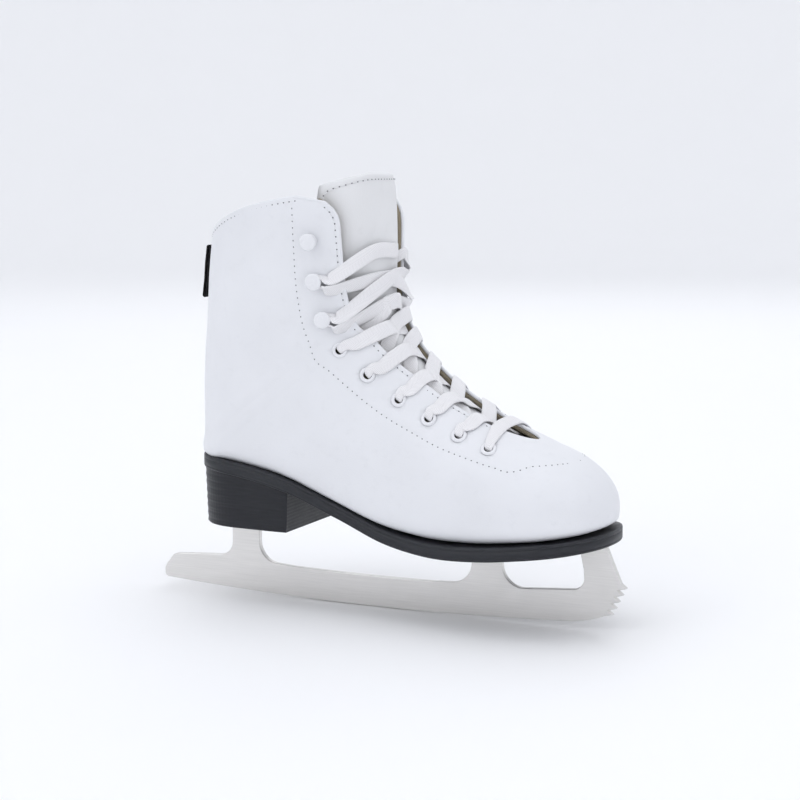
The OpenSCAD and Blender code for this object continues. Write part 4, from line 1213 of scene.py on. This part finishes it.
def lace_strand(side, mid):
    """One end of the lace, from the lowest hole on its side up past the hooks to where it is tucked in."""
    stops = []
    at = side
    for i in range(EYELETS - 1):
        stops += lace_crossing(i, at, mid)
        at = -at
    h0, h1, h2 = HOLE_ROWS[EYELETS - 1:EYELETS + 2]
    e = at * throat_edge(h0, at)
    m = (h0 + h1) / 2
    stops += [
        lace_stop(h0, at * hole_angle(h0, at), UNDER, 4.8),
        lace_stop(h0 + 0.06, (at * hole_angle(h0, at) + e) / 2, UNDER, 6.4),
        lace_stop(h0 + 0.2, e * 0.92, UNDER, 8),
        lace_stop((h0 + m) / 2, (e * 0.9 + middle(h1)) / 2, (UNDER + mid) / 2 - 1.2, 8.2),
        lace_stop(m, middle(h1), mid - 1.2, 8.2),
    ]
    stops += hook_round(EYELETS, -at)
    stops.append(lace_stop((h1 + h2) / 2, middle(h2), mid - 1.6, 8.2))
    stops += hook_round(EYELETS + 1, at)
    ends = h2 + 0.45
    e = throat_edge(ends, -1)
    if at > 0:
        stops += [
            lace_stop(ends, middle(ends) + 20, mid - 3.4, 8),
            lace_stop(ends, middle(ends) - 10, mid - 1.0, 8),
            lace_stop(ends, 4 - e, UNDER, 7),
            lace_stop(ends + 0.05, -e - 6, UNDER + 0.2, 4.5),
            lace_stop(ends + 0.3, -e - 7.5, UNDER + 0.3, 2.4),
        ]
    else:
        stops += [
            lace_stop(ends - 0.1, 5 - e, 0.6, 6),
            lace_stop(ends - 0.3, 6 - e, UNDER, 5),
            lace_stop(ends - 0.5, -e - 3.6, UNDER + 0.2, 4),
            lace_stop(ends - 0.75, -e - 3.8, UNDER + 0.3, 2.4),
        ]
    return stops


def lace_route():
    """The whole lace: one end, the level bar across the lowest eyelets, and the other end."""
    low = HOLE_ROWS[0]
    e, f = throat_edge(low, 1), throat_edge(low, -1)
    a, b = hole_angle(low, 1), hole_angle(low, -1)
    bar = [lace_stop(low, q, depth, width) for q, depth, width in (
        (a, 3.2, 4.3), (a, -0.2, 4.5), (a - (a - e) * 0.25, -1.3, 5.6),
        (e, -1.0, 7.8), (0, -0.2, 7.8), (-f, -1.0, 7.8),
        (-b + (b - f) * 0.25, -1.3, 5.6), (-b, -0.2, 4.5), (-b, 3.2, 4.3),
    )]
    return list(reversed(lace_strand(1, LATERAL_MID))) + bar + lace_strand(-1, MEDIAL_MID)


def smooth_route(stops, spacing):
    """Even samples on a smooth curve through the stops: (point, wide direction, width)."""
    fine = []
    for k in range(len(stops) - 1):
        p = [stops[min(max(k + d, 0), len(stops) - 1)] for d in (-1, 0, 1, 2)]
        reach = (p[2][0] - p[1][0]).length
        count = max(2, round(reach / spacing))
        for i in range(count):
            f = i / count
            point = sum((q[0] * w for q, w in zip(p, (
                -0.5 * f + f * f - 0.5 * f ** 3, 1 - 2.5 * f * f + 1.5 * f ** 3,
                0.5 * f + 2 * f * f - 1.5 * f ** 3, -0.5 * f * f + 0.5 * f ** 3))), Vector())
            wide = p[1][1].lerp(p[2][1] if p[1][1].dot(p[2][1]) > 0 else -p[2][1], f * f * (3 - 2 * f))
            fine.append((point, wide, p[1][2] + (p[2][2] - p[1][2]) * f))
    fine.append((stops[-1][0], stops[-1][1], stops[-1][2]))
    return fine


class SKATE_OT_lace(bpy.types.Operator):
    """Makes the flat woven lace, through the eyelets and round the hooks"""

    bl_idname = "skate.lace"
    bl_label = "Lace"

    def execute(self, context):
        lace = sizes("skate_lace")
        drawn = lace.drawn / MM
        spread = (lace.width / MM - drawn) / (STOP_FLAT - STOP_DRAWN)
        thick = lace.thick / MM
        route = smooth_route(lace_route(), 0.9)
        sides = 14
        frames, travelled, before = [], [0.0], None
        for k, (p, wide, width) in enumerate(route):
            d = (route[min(k + 1, len(route) - 1)][0] - route[max(k - 1, 0)][0]).normalized()
            across = wide - d * wide.dot(d)
            across = across.normalized() if across.length > 1e-4 else before
            if before and across.dot(before) < 0:
                across = -across
            before = across if before is None else (before * 0.45 + across * 0.55).normalized()
            before = (before - d * before.dot(d)).normalized()
            frames.append((p, before, d.cross(before), drawn + (width - STOP_DRAWN) * spread))
            if k:
                travelled.append(travelled[-1] + (p - route[k - 1][0]).length)

        def flat(j):
            q = 2 * math.pi * j / sides
            c, s = math.cos(q), math.sin(q)
            return math.copysign(abs(c) ** 0.55, c), math.copysign(abs(s) ** 0.7, s)

        def place(i, j):
            p, across, up, width = frames[i]
            x, z = flat(j)
            full = thick * (1 + 0.7 * clamped((5.2 - width) / 2))
            return p + across * (width / 2 * x) + up * (full / 2 * z)

        bm = bmesh.new()
        grid(bm, len(frames), sides + 1, place,
             chart=lambda i, j: (flat(j)[0] * frames[i][3] / 2 * MM, travelled[i] * MM))
        merged(bm, 0.01)
        closed_up(bm)
        made = piece("Lace", bm, [lace_weave(tuple(lace.shade))])
        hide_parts("lace")
        return {"FINISHED"}


# Side views of an eyelet's rim and barrel and of a hook: (radius, height) pairs
RIM = ((2.45, 0.25), (2.55, 0.5), (2.85, 0.78), (3.4, 0.9), (4.0, 0.78), (4.45, 0.42), (4.6, 0.02))
BARREL = ((2.9, -5.1), (2.45, -5.1), (2.42, -3.0), (2.4, -1.0), (2.45, 0.25))
HOOK = (
    (0, 0.05), (4.1, 0.05), (4.3, 0.3), (4.25, 0.8), (3.9, 1.0), (2.7, 1.15), (2.2, 1.45), (2.1, 1.9),
    (2.1, 3.9), (2.3, 4.25), (2.8, 4.4), (4.4, 4.42), (4.85, 4.6), (5.0, 4.95), (4.85, 5.35),
    (4.3, 5.7), (3.0, 5.92), (1.4, 6.02), (0, 6.05),
)


class SKATE_OT_fastenings(bpy.types.Operator):
    """Makes the eyelets and the hooks along the throat"""

    bl_idname = "skate.fastenings"
    bl_label = "Eyelets and hooks"

    def execute(self, context):
        paint = enamel("White enamel", tuple(sizes("skate_steel").enamel))
        for side, name in ((1, "lateral"), (-1, "medial")):
            bm = bmesh.new()
            for i in range(EYELETS):
                t = HOLE_ROWS[i]
                a = side * hole_angle(t, side)
                at = standing(under(t, a, leather_sink(t, a % 360)), normal(t, a))
                # The barrels take the second slot, whose near black is painted shade for the inside of each
                # hole.
                turned(bm, BARREL, at, 24, 1)
                turned(bm, RIM, at, 32, 0)
            merged(bm, 0.004)
            made = piece(f"Eyelets_{name}", bm, [paint, barrel_painted_shade()])
            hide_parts(f"eyelets_{name}")
            for i in range(HOOKS):
                t = HOLE_ROWS[EYELETS + i]
                a = side * hole_angle(t, side)
                bm = bmesh.new()
                turned(bm, HOOK, standing(surf(t, a), normal(t, a)), 40)
                made = piece(f"Hook_{name}_{i + 1}", bm, [paint])
                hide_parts(f"hook_{name}_{i + 1}")
        return {"FINISHED"}


# ---- sole and heel ----

HEEL_ROUND_X = -84.0
CAP_X = 104.0
HALF_BALL = 44.5
HEEL_POWER, CAP_POWER = 2.15, 2.1
HEEL_INSET = 0.8
HEEL_LIFTS = 14
LATERAL_WIDTHS = (31, 32, 31, 31.5, 36, 42, 44.5, 44)
MEDIAL_WIDTHS = (31, 31.5, 30, 30, 34.5, 41.5, 44.5, 44.5)


HEEL_XS = [HEEL_ROUND_X + (SOLE_BACK - HEEL_ROUND_X) * math.cos(q) for q in steps(0, math.pi / 2, 18)]


def plan_w(x, side):
    """Half the sole's width at x, on one side."""
    widths = LATERAL_WIDTHS if side > 0 else MEDIAL_WIDTHS
    w = spline(widths, clamped((x - HEEL_ROUND_X) / (CAP_X - HEEL_ROUND_X)) * 7)
    back = (1 - clamped((HEEL_ROUND_X - x) / (HEEL_ROUND_X - SOLE_BACK)) ** HEEL_POWER) ** (1 / HEEL_POWER)
    front = (1 - clamped((x - CAP_X) / (SOLE_FRONT - CAP_X)) ** CAP_POWER) ** (1 / CAP_POWER)
    return w * back * front


def plan_point(x, side, inset):
    """A point of the sole's outline, drawn in by an inset."""
    mid, half = (SOLE_BACK + SOLE_FRONT) / 2, SOLE_LEN / 2
    return mid + (x - mid) * (half - inset) / half, -side * plan_w(x, side) * (1 - inset / HALF_BALL)


def sole_loft(bm, xs, profile, cross=10):
    """Lofts a closed block along x. The profile gives each level's inset, height(x) and lean, downwards."""
    ring = [(k, 1.0) for k in range(len(profile))]
    ring += [(len(profile) - 1, 1 - 2 * q / cross) for q in range(1, cross)]
    ring += [(k, -1.0) for k in reversed(range(len(profile)))]
    ring += [(0, -1 + 2 * q / cross) for q in range(1, cross)]

    def place(i, j):
        k, share = ring[j % len(ring)]
        inset, height, lean = profile[k]
        x, left = plan_point(xs[i], 1, inset)
        _, right = plan_point(xs[i], -1, inset)
        y = left * (1 + share) / 2 + right * (1 - share) / 2
        x -= lean * (xs[i] - xs[0]) / (xs[-1] - xs[0])
        return Vector((x, y, height(x)))

    grid(bm, len(xs), len(ring) + 1, place)
    merged(bm, 0.01)
    closed_up(bm)


class SKATE_OT_sole(bpy.types.Operator):
    """Makes the outsole and the heel block"""

    bl_idname = "skate.sole"
    bl_label = "Sole and heel"

    def execute(self, context):
        sole = sizes("skate_sole")
        soft, line = sole.edge_round / MM, sole.groove / MM
        profile = [(inset, lambda x, drop=drop: sole_z(x) - drop, 0) for inset, drop in (
            (soft, 0.1), (soft * 0.3, 0.1 + soft * 0.3), (0, 0.1 + soft),
            (0, 1.9), (line, 2.1), (line, 2.4), (0, 2.6),
            (0, 6.2), (line * 0.7, 6.35), (line * 0.7, 6.55), (0, 6.7),
            (0, SOLE_T - soft), (soft * 0.3, SOLE_T - soft * 0.3), (soft, SOLE_T),
        )]
        xs = HEEL_XS + steps(HEEL_ROUND_X, CAP_X, 70)[1:]
        xs += [CAP_X + (SOLE_FRONT - CAP_X) * math.sin(q) for q in steps(0, math.pi / 2, 22)][1:]
        bm = bmesh.new()
        sole_loft(bm, xs, profile)
        made = piece("Outsole", bm, [moulded("Black sole", tuple(sole.shade), 0.42)])
        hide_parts("outsole")

        taper = sole.heel_taper / MM
        low = HEEL_LOW.z
        profile = []
        for k, share in enumerate(steps(0, 1, HEEL_LIFTS)):
            edge = 0.25 if k % 2 and 0 < k < HEEL_LIFTS else 0
            profile.append((HEEL_INSET + taper * share + edge,
                            lambda x, share=share: (sole_z(x) - SOLE_T) * (1 - share) + (low + 0.7) * share,
                            2.0 * share))
        profile.append((HEEL_INSET + taper + 0.7, lambda x: low, 2.6))
        xs = HEEL_XS + steps(HEEL_ROUND_X, HEEL_HIGH.x, 14)[1:]
        bm = bmesh.new()
        sole_loft(bm, xs, profile)
        made = piece("Heel_block", bm, [heel_finish(tuple(sole.heel_shade))], smooth=False)
        rounded(made, 0.0005, 2, 50)
        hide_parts("heel_block")
        return {"FINISHED"}


@lru_cache(maxsize=None)
def heel_finish(shade):
    """Stacked lifts, pressed and blacked: fine level lines in a satin coat."""
    f = Finish("Black heel")
    where = f.node("ShaderNodeTexCoord", out=3)
    parts = f.node("ShaderNodeSeparateXYZ", {}, {0: where})
    height = Value(f, parts.socket.node.outputs[2])
    waver = f.noise(30, 2)
    lifts = (height + waver * 0.0012).waves(0.0021)
    fine = f.noise(1.0, 4, 0.6, f.place((60, 60, 1800)))
    marks = f.noise(110, 5, 0.65)
    pale = tuple(c * 1.5 + 0.006 for c in shade)
    toned = f.mix(f.between(fine, 0.45, 0.8) * 0.4, shade, pale)
    dusted = f.mix(f.between(marks, 0.55, 0.8) * 0.3, toned, pale)
    return f.finished(Base_Color=dusted, Roughness=f.between(marks, 0.3, 0.75) * 0.15 + 0.33,
                      Normal=f.relief(lifts * 0.6 + fine * 0.5, 0.00016), Specular_IOR_Level=0.28)


# ---- blade ----

RUNNER_H, POST_W, TOE_POST_W = 18.5, 19.0, 15.0
PICKS = 5
FILLET = 13
REAR_POST, BALL_POST, TOE_POST = -102.5, 57.4, 122.5
REAR_TAB = HEEL_LOW.z + 12
ROCKER_R, ROCKER_X = 2100.0, -10.0


def rocker(x):
    """Height of the runner's curved edge."""
    return ROCKER_R - math.sqrt(ROCKER_R ** 2 - (x - ROCKER_X) ** 2)


def tab_top(x):
    """Height of the front posts' tops, inside the sole."""
    return sole_z(x) - 4.65


def blade_outline():
    """The blade's side view, counter-clockwise from the tail: (x, height) pairs."""
    turns = sizes("skate_steel").steps

    def arc(x, z, r, a, b):
        return [(x + r * math.cos(math.radians(q)), z + r * math.sin(math.radians(q)))
                for q in steps(a, b, turns)]

    half = BLADE_HIGH.x
    top = [half, 25.8]
    base = [half - 7.6, 9.9]
    tail_top = rocker(-half) + RUNNER_H - 3
    rear, ball = REAR_POST + POST_W, BALL_POST + POST_W
    sweep_x, sweep = base[0] - 28, 24
    outline = [(x, rocker(x)) for x in steps(-half + 2, sweep_x, 60)]
    outline += [(sweep_x + sweep * q, rocker(sweep_x) + 5.6 * q ** 1.8) for q in steps(0.1, 1, 9)]
    for x, z in zip(steps(base[0], top[0], PICKS - 1), steps(base[1], top[1], PICKS - 1)):
        outline += [(x, z), (x - 3.2, z + 2.6)]
    outline += [(x, tab_top(x)) for x in steps(TOE_POST + TOE_POST_W, TOE_POST, 6)]
    ledge = rocker(TOE_POST) + RUNNER_H
    outline += [(TOE_POST + 3.6, ledge + 12)] + arc(TOE_POST - 3, ledge + 7, 7, 0, -90)
    outline += arc(ball + FILLET, rocker(ball) + RUNNER_H + FILLET, FILLET, 270, 180)
    outline += [(x, tab_top(x)) for x in steps(ball, BALL_POST, 6)]
    outline += arc(BALL_POST - FILLET, rocker(BALL_POST) + RUNNER_H + FILLET, FILLET, 0, -90)
    outline += [(x, rocker(x) + RUNNER_H) for x in steps(BALL_POST - FILLET - 10, rear + FILLET + 10, 20)]
    outline += arc(rear + FILLET, rocker(rear) + RUNNER_H + FILLET, FILLET, 270, 180)
    outline += [(rear, REAR_TAB - 0.05), (REAR_POST, REAR_TAB - 0.05)]
    outline += arc(REAR_POST - 9, tail_top + 11, 9, 0, -90)
    outline += [(-half + 9, tail_top), (-half + 6.2, tail_top - 1.2), (-half + 4, tail_top - 4),
                (-half + 1.2, tail_top - 7.4), (-half, tail_top - 10), (-half, rocker(-half) + 2),
                (-half + 0.7, rocker(-half) + 0.6)]
    return outline


class SKATE_OT_blade(bpy.types.Operator):
    """Makes the steel blade with its posts, windows and toe pick"""

    bl_idname = "skate.blade"
    bl_label = "Blade"

    def execute(self, context):
        steel = sizes("skate_steel")
        bm = bmesh.new()
        half = (BLADE_HIGH.y - BLADE_LOW.y) / 2
        rim = [bm.verts.new(Vector((x, -half, z)) * MM) for x, z in blade_outline()]
        side = bm.faces.new(rim)
        bm.normal_update()
        if side.normal.y > 0:
            side.normal_flip()
        far = bmesh.ops.extrude_face_region(bm, geom=[side], use_keep_orig=True)["geom"]
        bmesh.ops.translate(bm, verts=[g for g in far if isinstance(g, bmesh.types.BMVert)],
                            vec=(0, 2 * half * MM, 0))
        bmesh.ops.recalc_face_normals(bm, faces=bm.faces)
        flat = [e for e in bm.edges if abs(e.verts[0].co.y - e.verts[1].co.y) < 1e-6]
        bmesh.ops.bevel(bm, geom=flat, offset=steel.chamfer, affect="EDGES", segments=2, profile=0.5,
                        material=-1)
        big = [f for f in bm.faces if len(f.verts) > 8]
        bmesh.ops.triangulate(bm, faces=big, ngon_method="EAR_CLIP")
        made = piece("Blade", bm, [ground_steel("Blade steel", tuple(steel.shade))], smooth=False)
        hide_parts("blade")
        return {"FINISHED"}


class SKATE_OT_finishes(bpy.types.Operator):
    """Gives the frame's own parts their finishes"""

    bl_idname = "skate.finishes"
    bl_label = "Inner parts"

    def execute(self, context):
        facing = fibrous("Facing leather", (0.40, 0.33, 0.23))
        board = fibrous("Fibreboard", (0.17, 0.11, 0.06), (1, 4, 1))
        plate = ground_steel("Plate steel", (0.50, 0.50, 0.51), 0.38, (60, 900, 60))
        screw = ground_steel("Screw steel", (0.36, 0.36, 0.37), 0.32, (700, 700, 60))
        rivet = ground_steel("Rivet steel", (0.55, 0.55, 0.56), 0.3, (500, 500, 500))
        tip = moulded("Aglet plastic", (0.70, 0.70, 0.71), 0.25, 0.00002)
        shown = {
            facing: ("eyestay_lateral", "eyestay_medial"),
            board: ("heel_counter", "toe_puff", "insole_board"),
            plate: ("shank", "sole_plate", "heel_plate"),
            screw: ("sole_screws", "heel_screws"),
            rivet: ("hook_rivets",),
            tip: ("aglets",),
        }
        for material, nodes in shown.items():
            for node in nodes:
                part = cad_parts[node]
                if not part.material_slots:
                    part.data.materials.append(material)
                for holder in part.material_slots:
                    holder.material = material
        return {"FINISHED"}


# ---- panel ----

MAKING = (
    SKATE_OT_camera, SKATE_OT_studio, SKATE_OT_upper, SKATE_OT_stitching, SKATE_OT_backstay,
    SKATE_OT_lining, SKATE_OT_tongue, SKATE_OT_lace, SKATE_OT_fastenings, SKATE_OT_sole, SKATE_OT_blade,
    SKATE_OT_finishes,
)


class SKATE_PT_panel(bpy.types.Panel):
    """Lists the skate's sizes and the steps that make it"""

    bl_idname = "SKATE_PT_panel"
    bl_label = "Figure Skate"
    bl_space_type = "VIEW_3D"
    bl_region_type = "UI"
    bl_category = "Skate"

    def draw(self, context):
        for name, group in GROUPS.items():
            box = self.layout.box()
            for key in group.__annotations__:
                box.prop(getattr(context.scene, name), key)
        for step in MAKING:
            self.layout.operator(step.bl_idname)


CLASSES = tuple(GROUPS.values()) + MAKING + (SKATE_PT_panel,)


def register():
    for cls in CLASSES:
        bpy.utils.register_class(cls)
    for name, group in GROUPS.items():
        setattr(bpy.types.Scene, name, PointerProperty(type=group))


def unregister():
    for name in GROUPS:
        delattr(bpy.types.Scene, name)
    for cls in reversed(CLASSES):
        bpy.utils.unregister_class(cls)


def main():
    register()
    for step in MAKING:
        area, name = step.bl_idname.split(".")
        getattr(getattr(bpy.ops, area), name)()


if __name__ == "__main__":
    main()
